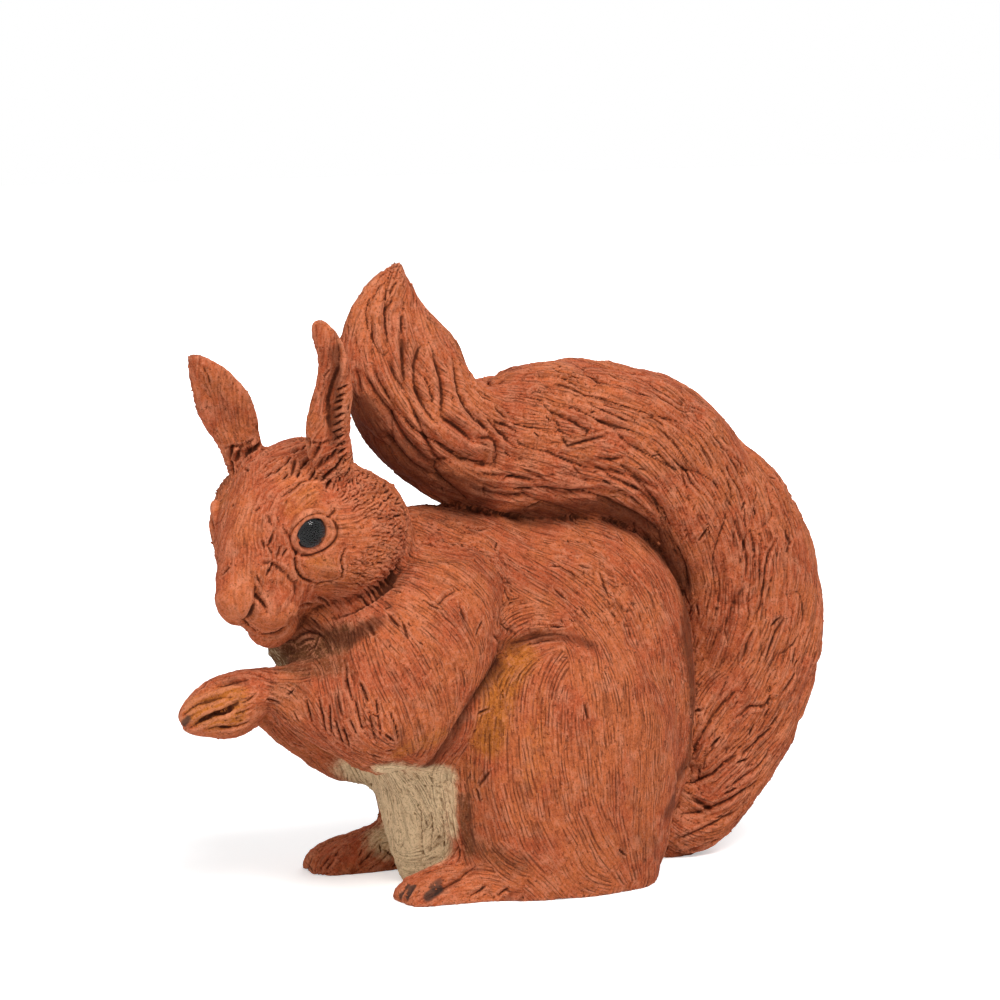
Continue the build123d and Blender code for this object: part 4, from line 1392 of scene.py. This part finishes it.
def give_attribute(mesh, name, values, domain="POINT"):
    """Store numbers or vectors on a mesh, with zeros for its hidden walls."""
    attribute = mesh.attributes.new(name, "FLOAT" if values.ndim == 1 else "FLOAT_VECTOR", domain)
    whole = np.zeros((len(attribute.data),) + values.shape[1:], np.float32)
    whole[: len(values)] = values
    attribute.data.foreach_set("value" if values.ndim == 1 else "vector", whole.ravel())


# %% Raise the skin for good, and find its hollows
cut_rounds = 3
crease_rounds = 24
shaped = skin + (height + cuts)[:, None] * facing
shaped[:, 2] = np.maximum(shaped[:, 2], 0)
smooth_facing = normals_of(shaped)
hollow = ((spread(shaped, cut_rounds) - shaped) * smooth_facing).sum(1)
deep_hollow = ((spread(shaped, crease_rounds) - shaped) * smooth_facing).sum(1)
print("hollow:", np.percentile(hollow, (1, 50, 99)).round(3), np.percentile(deep_hollow, (1, 50, 99)).round(3))

# %% [markdown]
# The material can't see how deep a cut is or which way the comb ran, so each
# piece carries that as attributes: how hollow the skin is close by and further
# round, its slips and its painted shade, and each corner's place under the comb.

# %% Make the pieces
pieces = {}
point_attributes = {
    "cut": hollow,
    "crease": deep_hollow,
    "claw": paint[:, list(slips_and_shade).index("claw")],
    # The painted shade that was brushed on.
    "smoke": paint[:, list(slips_and_shade).index("smoke")],
    "comb_strength": comb_strength,
    "slip": paint[:, :3],
}
for name in clay_names:
    places, faces, used = closed_patch(number_of[name])
    piece = mesh_piece(name + "_clay", places, faces)
    given = np.zeros((len(places), 3))
    given[: len(used)] = smooth_facing[used]
    piece.data.normals_split_custom_set_from_vertices(given.tolist())
    for attribute_name, values in point_attributes.items():
        give_attribute(piece.data, attribute_name, values[used])
    give_attribute(piece.data, "comb", comb_corners(quads[face_label == number_of[name]]), "CORNER")
    pieces[name] = piece
    print(piece.name, len(piece.data.polygons), "faces")

# %% [markdown]
# ## Fired and washed clay, with painted shade
# The clay fires to an orange red. A brown wash is brushed on and wiped off
# again, so it stays in the fine cuts and comb lines. Shade is painted on as
# well: darker in the deep cuts and the broad creases between lumps, and raised
# clay paler, partly from the wiped wash and partly as a painted highlight. An
# image could be painted for this, but it needs an unwrapped skin, and its
# sharpness is fixed. Masks that are read from the shape follow every mark.
#
# A material is a sum of masks and patterns. Its nodes could be wired by hand in
# the Shader Editor. Written as expressions they read as the sum that they are: a
# wire is a socket, and adding or multiplying wires adds Math nodes.

# %% Shader maths as plain expressions
class Wire:
    """One output socket of a shader node, with operators that add Math nodes."""

    def __init__(self, tree, socket):
        self.tree = tree
        self.socket = socket

    def node(self, kind, settings=None, output=0, **values):
        """Add any node: settings first, then the values or links of its sockets."""
        made = self.tree.nodes.new(kind)
        for key, value in (settings or {}).items():
            setattr(made, key, value)
        for key, value in values.items():
            socket = made.inputs[int(key[1:])] if key[1:].isdigit() else made.inputs[key.replace("_", " ")]
            if isinstance(value, Wire):
                self.tree.links.new(value.socket, socket)
            else:
                socket.default_value = value
        return Wire(self.tree, made.outputs[output])

    def math(self, operation, *values):
        """Add a Math node."""
        return self.node("ShaderNodeMath", {"operation": operation}, **{f"i{k}": v for k, v in enumerate(values)})

    def __add__(self, other):
        return self.math("ADD", self, other)

    __radd__ = __add__

    def __sub__(self, other):
        return self.math("SUBTRACT", self, other)

    def __rsub__(self, other):
        return self.math("SUBTRACT", other, self)

    def __mul__(self, other):
        return self.math("MULTIPLY", self, other)

    __rmul__ = __mul__

    def __truediv__(self, other):
        return self.math("DIVIDE", self, other)

    def ramp(self, low, high):
        """Go smoothly from 0 at low to 1 at high."""
        settings = {"interpolation_type": "SMOOTHSTEP"}
        return self.node("ShaderNodeMapRange", settings, Value=self, From_Min=low, From_Max=high)


# %% Start a material, mix and link
def new_material(name):
    """Make a material, and give it, its shader node and a first wire."""
    material = bpy.data.materials.new(name)
    material.use_nodes = True
    tree = material.node_tree
    shader = tree.nodes["Principled BSDF"]
    start = Wire(tree, tree.nodes.new("ShaderNodeTexCoord").outputs["Object"])
    return material, shader, start


def mix(mask, one, other):
    """Mix two colours by a mask."""
    return mask.node("ShaderNodeMix", {"data_type": "RGBA"}, 2, i0=mask, i6=one, i7=other)


def link(wire, socket):
    """Link a wire to a shader's socket."""
    wire.tree.links.new(wire.socket, socket)


# %% Colours of the clay, and of its painted shade
fired = (0.47, 0.094, 0.034, 1)
orange = (0.55, 0.137, 0.045, 1)
pale = (0.65, 0.235, 0.125, 1)
# The wash's dark brown, also used as painted shade in the brushed strokes of shade and in the broad creases.
wash_and_shade = (0.085, 0.019, 0.007, 1)
# Near black, painted as shade in the deep cuts.
deep_cut_shade = (0.020, 0.007, 0.004, 1)
# Ochre, cream, and a dark brown that is partly the throat's own colour and partly painted shade.
slip_and_shade_colours = ((0.50, 0.145, 0.022, 1), (0.84, 0.62, 0.37, 1), (0.12, 0.045, 0.015, 1))
cream_dirt = (0.24, 0.12, 0.05, 1)
claw_brown = (0.045, 0.030, 0.024, 1)
per_mm = 1 / mm
print("slips:", len(slip_and_shade_colours))

# %% Read what the skin stores
terracotta, shader, place = new_material("terracotta")


def parts_of(wire):
    """Split a vector into its three numbers."""
    node = wire.node("ShaderNodeSeparateXYZ", i0=wire).socket.node
    return [Wire(wire.tree, output) for output in node.outputs]


def vector_of(x, y, z):
    """Join three numbers to a vector."""
    return place.node("ShaderNodeCombineXYZ", X=x, Y=y, Z=z)


def noise(vector, scale, detail=2.0, roughness=0.5):
    """Give a noise value about 0.5."""
    return place.node("ShaderNodeTexNoise", Vector=vector, Scale=scale, Detail=detail, Roughness=roughness)


def attribute(name, output=1):
    """Read an attribute of the skin."""
    return place.node("ShaderNodeAttribute", {"attribute_name": name}, output)


cut = attribute("cut", 2)
crease = attribute("crease", 2)
across, along, patch = parts_of(attribute("comb"))
ochre, cream, throat = parts_of(attribute("slip"))
claw = attribute("claw", 2)
smoke = attribute("smoke", 2)
strength = attribute("comb_strength", 2)


# %% [markdown]
# The comb's teeth are a sine wave across the lines, bent by a slow noise so that
# no line is straight. They fade out in groups and break up where the comb
# skipped. Noise that is stretched along the comb gives streaks and ropes.

# %% Comb lines, streaks and grain
tooth_pitch = 1.3
wobble = noise(vector_of(across * 0.22, along * 0.05, patch * 3.1), 1.0, 2.0)
turns = (across / tooth_pitch + wobble * 2.5) * math.tau
wave = turns.math("SINE", turns)
groups = noise(vector_of(across * 0.28, along * 0.045, patch * 5.3), 1.0, 2.0).ramp(0.40, 0.56)
broken = noise(vector_of(across * 0.8, along * 0.3, patch * 2.7), 1.0, 2.0).ramp(0.36, 0.58)
teeth = wave.ramp(0.1, 1.0) * groups * strength * (broken * 0.7 + 0.3)
streaks = noise(vector_of(across * 1.5, along * 0.10, patch * 7.3), 1.0, 3.0, 0.65)
grain = noise(place, 1.5 * per_mm, 4.0, 0.7)
specks = noise(place, 0.9 * per_mm, 3.0, 0.6)
pits = specks.ramp(0.62, 0.70)
blotch = noise(place, 0.07 * per_mm, 4.0)
patches = noise(place, 0.2 * per_mm, 3.0)
cloud = noise(place, 0.5 * per_mm, 4.0, 0.65)
ropes = noise(vector_of(across * 0.5, along * 0.07, patch * 9.1), 1.0, 3.0, 0.6)
print("teeth every", tooth_pitch, "mm")

# %% Relief finer than the mesh
relief = streaks * (strength * 0.7 + 0.2) + grain * 0.7 + cloud * 0.6 + ropes * (strength * 1.2 + 0.3)
relief = relief - teeth * 0.5 - pits * 0.25
bump = place.node("ShaderNodeBump", Strength=1.0, Distance=1.0 * mm, Height=relief)
link(bump, shader.inputs["Normal"])
print("shader nodes so far:", len(terracotta.node_tree.nodes))

# %% [markdown]
# Colour goes on in the order of the workshop: the fired clay in two tones, the
# slips, then the wash, which is wiped off the ridges and stays in grain, comb
# lines and cuts. Raised edges get a painted highlight as well. Last come the
# painted shade where shade falls, darker still in the deep cuts and the broad
# creases, and the claws.

# %% Layers of colour
light = mix(cream.ramp(0.2, 0.8), pale, slip_and_shade_colours[1])
colour = mix(blotch.ramp(0.38, 0.62), fired, orange)
colour = mix(patches.ramp(0.5, 0.75) * 0.6, colour, pale)
# The slips, with the dark brown that is partly painted shade under the jaw and in the folds.
for mask, slip in zip((ochre, cream, throat), slip_and_shade_colours):
    edge = mask + (streaks - 0.5) * 0.8 + (cloud - 0.5) * 0.8
    colour = mix(edge.ramp(0.15, 1.0), colour, slip)
dirt = mix(cream.ramp(0.2, 0.8), wash_and_shade, cream_dirt)
# Raised clay is made paler: partly the wiped wash, partly a painted highlight.
colour = mix(cut.ramp(0.0, -0.10) * 0.5, colour, light)
colour = mix((grain - 0.5).ramp(0.03, 0.2) * 0.5, colour, light)
colour = mix((cloud - 0.5).ramp(0.02, 0.18) * 0.3, colour, light)
colour = mix((0.5 - cloud).ramp(0.0, 0.16) * 0.25, colour, dirt)
colour = mix((ropes - 0.5).ramp(0.0, 0.18) * 0.4, colour, light)
colour = mix((0.5 - ropes).ramp(0.02, 0.18) * 0.35, colour, dirt)
colour = mix((0.5 - streaks).ramp(0.0, 0.2) * strength * 0.35, colour, dirt)
colour = mix((0.5 - grain).ramp(0.02, 0.16) * 0.5, colour, dirt)
colour = mix(teeth * 0.65, colour, dirt)
colour = mix(pits * 0.7, colour, dirt)
# Painted shade: the brushed strokes of shade darken the clay to a dark brown.
colour = mix((smoke + (streaks - 0.5) * 0.9 + (cloud - 0.5) * 0.9).ramp(0.2, 1.1) * 0.75, colour, wash_and_shade)
colour = mix(cut.ramp(0.03, 0.15) * 0.75, colour, dirt)
# Painted shade: the deep cuts are darkened almost to black.
colour = mix(cut.ramp(0.14, 0.32) * 0.8, colour, deep_cut_shade)
# Painted shade: the broad creases between lumps are darkened with the wash's brown.
colour = mix(crease.ramp(0.2, 1.3) * 0.85, colour, wash_and_shade)
colour = mix(claw.ramp(0.2, 0.7) * 0.85, colour, claw_brown)
link(colour, shader.inputs["Base Color"])
shader.inputs["Roughness"].default_value = 0.85
shader.inputs["Specular IOR Level"].default_value = 0.1
print("shader nodes in all:", len(terracotta.node_tree.nodes))

# %% Dress the pieces
for name, piece in pieces.items():
    piece.data.materials.append(terracotta)
    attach(piece, "root")
    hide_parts(name)
    "pale_clay" if name == "belly_panel" else "terracotta"
print("dressed:", len(pieces))

# %% [markdown]
# ## Crumbs of clay
# A tool that drags through leather-hard clay leaves crumbs, and some stick to
# the figure and are fired on. They sit where the clay was torn or pushed up.
# A hair system could scatter them. Geometry Nodes puts a small squashed pellet
# on exactly the chosen points of the skin, and keeps size and seed as inputs.

# %% Choose where crumbs stick
crumb_count = 2600
crumb_size = 0.46 * mm
crumb_seed = 5
lowest_crumb = 1.5
clear_of_eye = 10.0
chance = rough_here * (0.15 + np.clip(cuts, 0, 0.6)) * (shaped[:, 2] > lowest_crumb)
chance[on_head & (np.linalg.norm(skin - eyes["left"][0] / mm, axis=1) < clear_of_eye)] = 0
crumb_points = rng.choice(len(skin), crumb_count, replace=False, p=chance / chance.sum())
seeds = mesh_piece("clay_crumbs_seeds", shaped[crumb_points], [])
give_attribute(seeds.data, "facing", smooth_facing[crumb_points])
# The crumbs take the slips and the painted shade of the skin under them.
for attribute_name in ("slip", "smoke"):
    give_attribute(seeds.data, attribute_name, point_attributes[attribute_name][crumb_points])
print("seeds:", len(seeds.data.vertices))

# %% [markdown]
# The tree takes the chosen points, turns a pellet's up to the way the skin
# faces there, and gives each pellet a size of its own from the seed.

# %% Build the crumb tree
crumb_tree = bpy.data.node_groups.new("crumbs", "GeometryNodeTree")
crumb_tree.interface.new_socket("Geometry", in_out="INPUT", socket_type="NodeSocketGeometry")
size_input = crumb_tree.interface.new_socket("Crumb radius", in_out="INPUT", socket_type="NodeSocketFloat")
seed_input = crumb_tree.interface.new_socket("Seed", in_out="INPUT", socket_type="NodeSocketInt")
crumb_tree.interface.new_socket("Geometry", in_out="OUTPUT", socket_type="NodeSocketGeometry")
given_in = crumb_tree.nodes.new("NodeGroupInput")
spots = Wire(crumb_tree, given_in.outputs[0])
crumb_radius = Wire(crumb_tree, given_in.outputs[1])
seed = Wire(crumb_tree, given_in.outputs[2])
out_of_skin = spots.node("GeometryNodeInputNamedAttribute", {"data_type": "FLOAT_VECTOR"}, 0, Name="facing")
upright = spots.node("FunctionNodeAlignRotationToVector", {"axis": "Z"}, 0, Vector=out_of_skin)
sizes = spots.node(
    "FunctionNodeRandomValue", {"data_type": "FLOAT_VECTOR"}, 0, i0=(0.5, 0.5, 0.4), i1=(1.6, 1.1, 0.9), i8=seed
)
pellet = spots.node("GeometryNodeMeshIcoSphere", None, 0, Radius=crumb_radius, Subdivisions=1)
crumbs = spots.node(
    "GeometryNodeInstanceOnPoints", None, 0, Points=spots, Instance=pellet, Rotation=upright, Scale=sizes
)
crumbs = spots.node("GeometryNodeRealizeInstances", None, 0, Geometry=crumbs)
crumbs = spots.node("GeometryNodeSetShadeSmooth", None, 0, i0=crumbs)
crumbs = spots.node("GeometryNodeSetMaterial", None, 0, Geometry=crumbs, Material=terracotta)
given_out = crumb_tree.nodes.new("NodeGroupOutput")
link(crumbs, given_out.inputs[0])
print("crumb tree:", len(crumb_tree.nodes), "nodes")

# %% Grow the crumbs
grower = seeds.modifiers.new("crumbs", "NODES")
grower.node_group = crumb_tree
grower[size_input.identifier] = crumb_size
grower[seed_input.identifier] = crumb_seed
bpy.context.view_layer.update()
grown = bpy.data.meshes.new_from_object(seeds.evaluated_get(bpy.context.evaluated_depsgraph_get()))
crumb_piece = bpy.data.objects.new("clay_crumbs", grown)
bpy.context.scene.collection.objects.link(crumb_piece)
bpy.data.objects.remove(seeds)
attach(crumb_piece, "root")
print("crumbs:", crumb_count, "faces:", len(grown.polygons))

# %% [markdown]
# ## Glass eyes
# Each eye is a polished glass dome over a painted disc. A ball that is cut flat
# by a Boolean would be rough at its rim, which shows. Both are turned shapes, so
# a profile spun round the line of sight makes them. The disc is slightly dished,
# and a hair's breadth of air is left between the two, as behind a real cabochon.

# %% Spin a profile
turn_steps = 96


def turned(name, profile, middle, gaze):
    """Spin a profile of radius and height, in millimetres, round the line of sight."""
    side = unit(np.cross(gaze, (0, 0, 1)))
    up = np.cross(gaze, side)
    rows = [np.full((1, 3), profile[0][1]) * gaze]
    for radius, level in profile[1:-1]:
        angles = np.arange(turn_steps) * math.tau / turn_steps
        rows.append(radius * (np.cos(angles)[:, None] * side + np.sin(angles)[:, None] * up) + level * gaze)
    rows.append(np.full((1, 3), profile[-1][1]) * gaze)
    faces = []
    start = 1
    for k in range(turn_steps):
        after = (k + 1) % turn_steps
        faces.append((0, start + k, start + after))
        for row in range(len(profile) - 3):
            low = start + row * turn_steps
            faces.append((low + k, low + turn_steps + k, low + turn_steps + after, low + after))
        low = start + (len(profile) - 3) * turn_steps
        faces.append((low + k, low + turn_steps, low + after))
    piece = mesh_piece(name, np.vstack(rows) + np.array(middle) / mm, faces)
    piece.data.set_sharp_from_angle(angle=math.radians(35))
    return piece


# %% [markdown]
# The dome is a slice of a ball with a flat back, a little flatter than round.
# The disc behind it is dished, so that the two don't touch.

# %% Profiles of dome and disc
dome_steps = 32
dome_gap = 0.08
dome_flatness = 0.86
disc_radius = 4.8
disc_back = -0.55
dish = 0.15
rim_angle = math.acos((glass_sunk / mm + dome_gap) / (glass_radius / mm))
dome = []
for k in range(dome_steps + 1):
    angle = rim_angle * k / dome_steps
    level = (math.cos(angle) * glass_radius - glass_sunk) / mm
    dome.append((math.sin(angle) * glass_radius / mm, dome_gap + dome_flatness * (level - dome_gap)))
dome += [(5.0, dome_gap), (0, dome_gap)]
disc = [(0, -dish), (2.0, 0.04 - dish), (3.6, 0.09 - dish), (disc_radius - 0.1, -0.02), (disc_radius, -0.1)]
disc += [(disc_radius, disc_back), (0, disc_back)]
print("dome:", len(dome), "rings, disc:", len(disc), "rings")

# %% [markdown]
# The glass is clear, with the faint smears that fingers leave. The paint behind
# it is a black pupil in a slate grey ring with speckles. Putty beds the disc.

# %% Glass, paint and putty
glass, glass_shader, start = new_material("eye glass")
for key, value in (("IOR", 1.2), ("Transmission Weight", 1.0)):
    glass_shader.inputs[key].default_value = value
smears = start.node("ShaderNodeTexNoise", Vector=start, Scale=250.0, Detail=3.0)
link(mix(smears.ramp(0.3, 0.7), (1, 1, 1, 1), (0.90, 0.93, 0.95, 1)), glass_shader.inputs["Base Color"])
link(smears.ramp(0.5, 0.75) * 0.03, glass_shader.inputs["Roughness"])
iris, iris_shader, start = new_material("iris")
iris_shader.inputs["Roughness"].default_value = 0.6
iris_shader.inputs["Specular IOR Level"].default_value = 0.0
from_eyes = [
    start.node("ShaderNodeVectorMath", {"operation": "DISTANCE"}, 1, i0=start, i1=tuple(middle))
    for middle, gaze in eyes.values()
]
from_pupil = from_eyes[0].math("MINIMUM", *from_eyes)
pupil_radius = 3.1 * mm
pupil_softness = 0.6 * mm
rays = start.node("ShaderNodeTexNoise", Vector=start, Scale=1800.0, Detail=3.0)
iris_colour = mix(rays.ramp(0.35, 0.7), (0.007, 0.008, 0.009, 1), (0.030, 0.033, 0.036, 1))
pupil = 1 - from_pupil.ramp(pupil_radius, pupil_radius + pupil_softness)
link(mix(pupil, iris_colour, (0.001, 0.001, 0.001, 1)), iris_shader.inputs["Base Color"])
putty, putty_shader, start = new_material("putty")
kneaded = start.node("ShaderNodeTexNoise", Vector=start, Scale=900.0)
link(mix(kneaded, (0.02, 0.014, 0.01, 1), (0.05, 0.035, 0.025, 1)), putty_shader.inputs["Base Color"])
putty_shader.inputs["Roughness"].default_value = 0.7
print("pupil:", round(pupil_radius / mm, 1), "mm")

# %% Set the eyes
for side, (middle, gaze) in eyes.items():
    for profile, node, finish, slot in (
        (dome, "glass_eye", glass, "eye_glass"),
        (disc, "iris", iris, "iris_paint"),
    ):
        piece = turned(side + "_" + node + "_turned", profile, middle, gaze)
        piece.data.materials.append(finish)
        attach(piece, "root")
        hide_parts(side + "_" + node)
    cad_nodes[side + "_eye_putty"].material_slots[0].material = putty
    print(side, "eye is set")

# %% [markdown]
# ## The base slab
# The floor of the hollow trunk is cut from a rolled sheet, and it shows only
# from below. It keeps its solid, and gets the same clay without any wash.

# %% Bare clay
bare, bare_shader, start = new_material("bare clay")
dots = start.node("ShaderNodeTexNoise", Vector=start, Scale=700.0, Detail=6.0, Roughness=0.7)
stretched = start.node("ShaderNodeMapping", Vector=start, Scale=(900.0, 60.0, 900.0))
scrape = start.node("ShaderNodeTexNoise", Vector=stretched, Scale=1.0, Detail=3.0)
link(mix(dots.ramp(0.35, 0.65), (0.40, 0.10, 0.045, 1), (0.52, 0.16, 0.08, 1)), bare_shader.inputs["Base Color"])
link(start.node("ShaderNodeBump", Strength=0.6, Distance=0.4 * mm, Height=dots + scrape), bare_shader.inputs["Normal"])
bare_shader.inputs["Roughness"].default_value = 0.85
cad_nodes["base_slab"].material_slots[0].material = bare
print("bare clay on:", cad_nodes["base_slab"].name)

# %% [markdown]
# ## Studio
# A pale floor, a large soft light from the upper right of the picture and two
# weak fills. A picture of a room would give richer gloss, but clay is dull, and
# plain light shows its colour as it is. The camera sees the floor and the world
# as white, and the glass eyes mirror them so. The floor keeps the figure's
# shadow.

# %% Floor
floor_size = 8.0
corner = floor_size / 2
floor_mesh = bpy.data.meshes.new("floor")
corners = [(-corner, -corner, 0), (corner, -corner, 0), (corner, corner, 0), (-corner, corner, 0)]
floor_mesh.from_pydata(corners, [], [(0, 1, 2, 3)])
floor = bpy.data.objects.new("floor", floor_mesh)
bpy.context.scene.collection.objects.link(floor)
print("floor:", floor_size, "m wide")


def seen_directly(tree):
    """Give 1 where the camera, a mirror or glass looks, and 0 for other light."""
    path = tree.nodes.new("ShaderNodeLightPath")
    camera_ray = Wire(tree, path.outputs["Is Camera Ray"])
    glossy_ray = Wire(tree, path.outputs["Is Glossy Ray"])
    clear_ray = Wire(tree, path.outputs["Is Transmission Ray"])
    looking = camera_ray + glossy_ray + clear_ray
    return looking.math("MINIMUM", looking, 1.0)


# %% Pale paper that glows further out
floor_paper, floor_shader, start = new_material("pale paper")
floor_shader.inputs["Base Color"].default_value = (0.85, 0.85, 0.85, 1)
floor_shader.inputs["Roughness"].default_value = 0.9
near_glow = 0.45
floor_shader.inputs["Emission Strength"].default_value = 1.0
from_middle = start.node("ShaderNodeVectorMath", {"operation": "LENGTH"}, 1, i0=start)
paper_glow = (from_middle.ramp(0.25, 1.3) * (1 - near_glow) + near_glow) * seen_directly(floor_paper.node_tree)
link(mix(paper_glow, (0, 0, 0, 1), (1, 1, 1, 1)), floor_shader.inputs["Emission Color"])
floor_mesh.materials.append(floor_paper)
print("paper glows from", near_glow, "up to 1")

# %% World and lamps: each lamp's watts, size and place
world = bpy.data.worlds.new("studio")
bpy.context.scene.world = world
world.use_nodes = True
background = world.node_tree.nodes["Background"]
background.inputs["Color"].default_value = (1, 1, 1, 1)
fill_strength = 0.22
direct = seen_directly(world.node_tree)
link(direct * (1 - fill_strength) + fill_strength, background.inputs["Strength"])
lamps = (
    ("window", 50.0, 1.0, (1.20, -0.06, 1.68)),
    ("side fill", 10.0, 0.8, (0.25, -1.70, 0.75)),
    ("back fill", 15.0, 1.2, (-1.30, 1.10, 1.10)),
)
aim = Vector((0, 0, 0.09))
for name, power, size, spot in lamps:
    light = bpy.data.lights.new(name, "AREA")
    light.energy = power
    light.size = size
    lamp = bpy.data.objects.new(name, light)
    lamp.location = spot
    lamp.rotation_euler = (aim - lamp.location).to_track_quat("-Z", "Y").to_euler()
    bpy.context.scene.collection.objects.link(lamp)
    print(name, power, "W")
bpy.context.scene.view_settings.view_transform = "Standard"
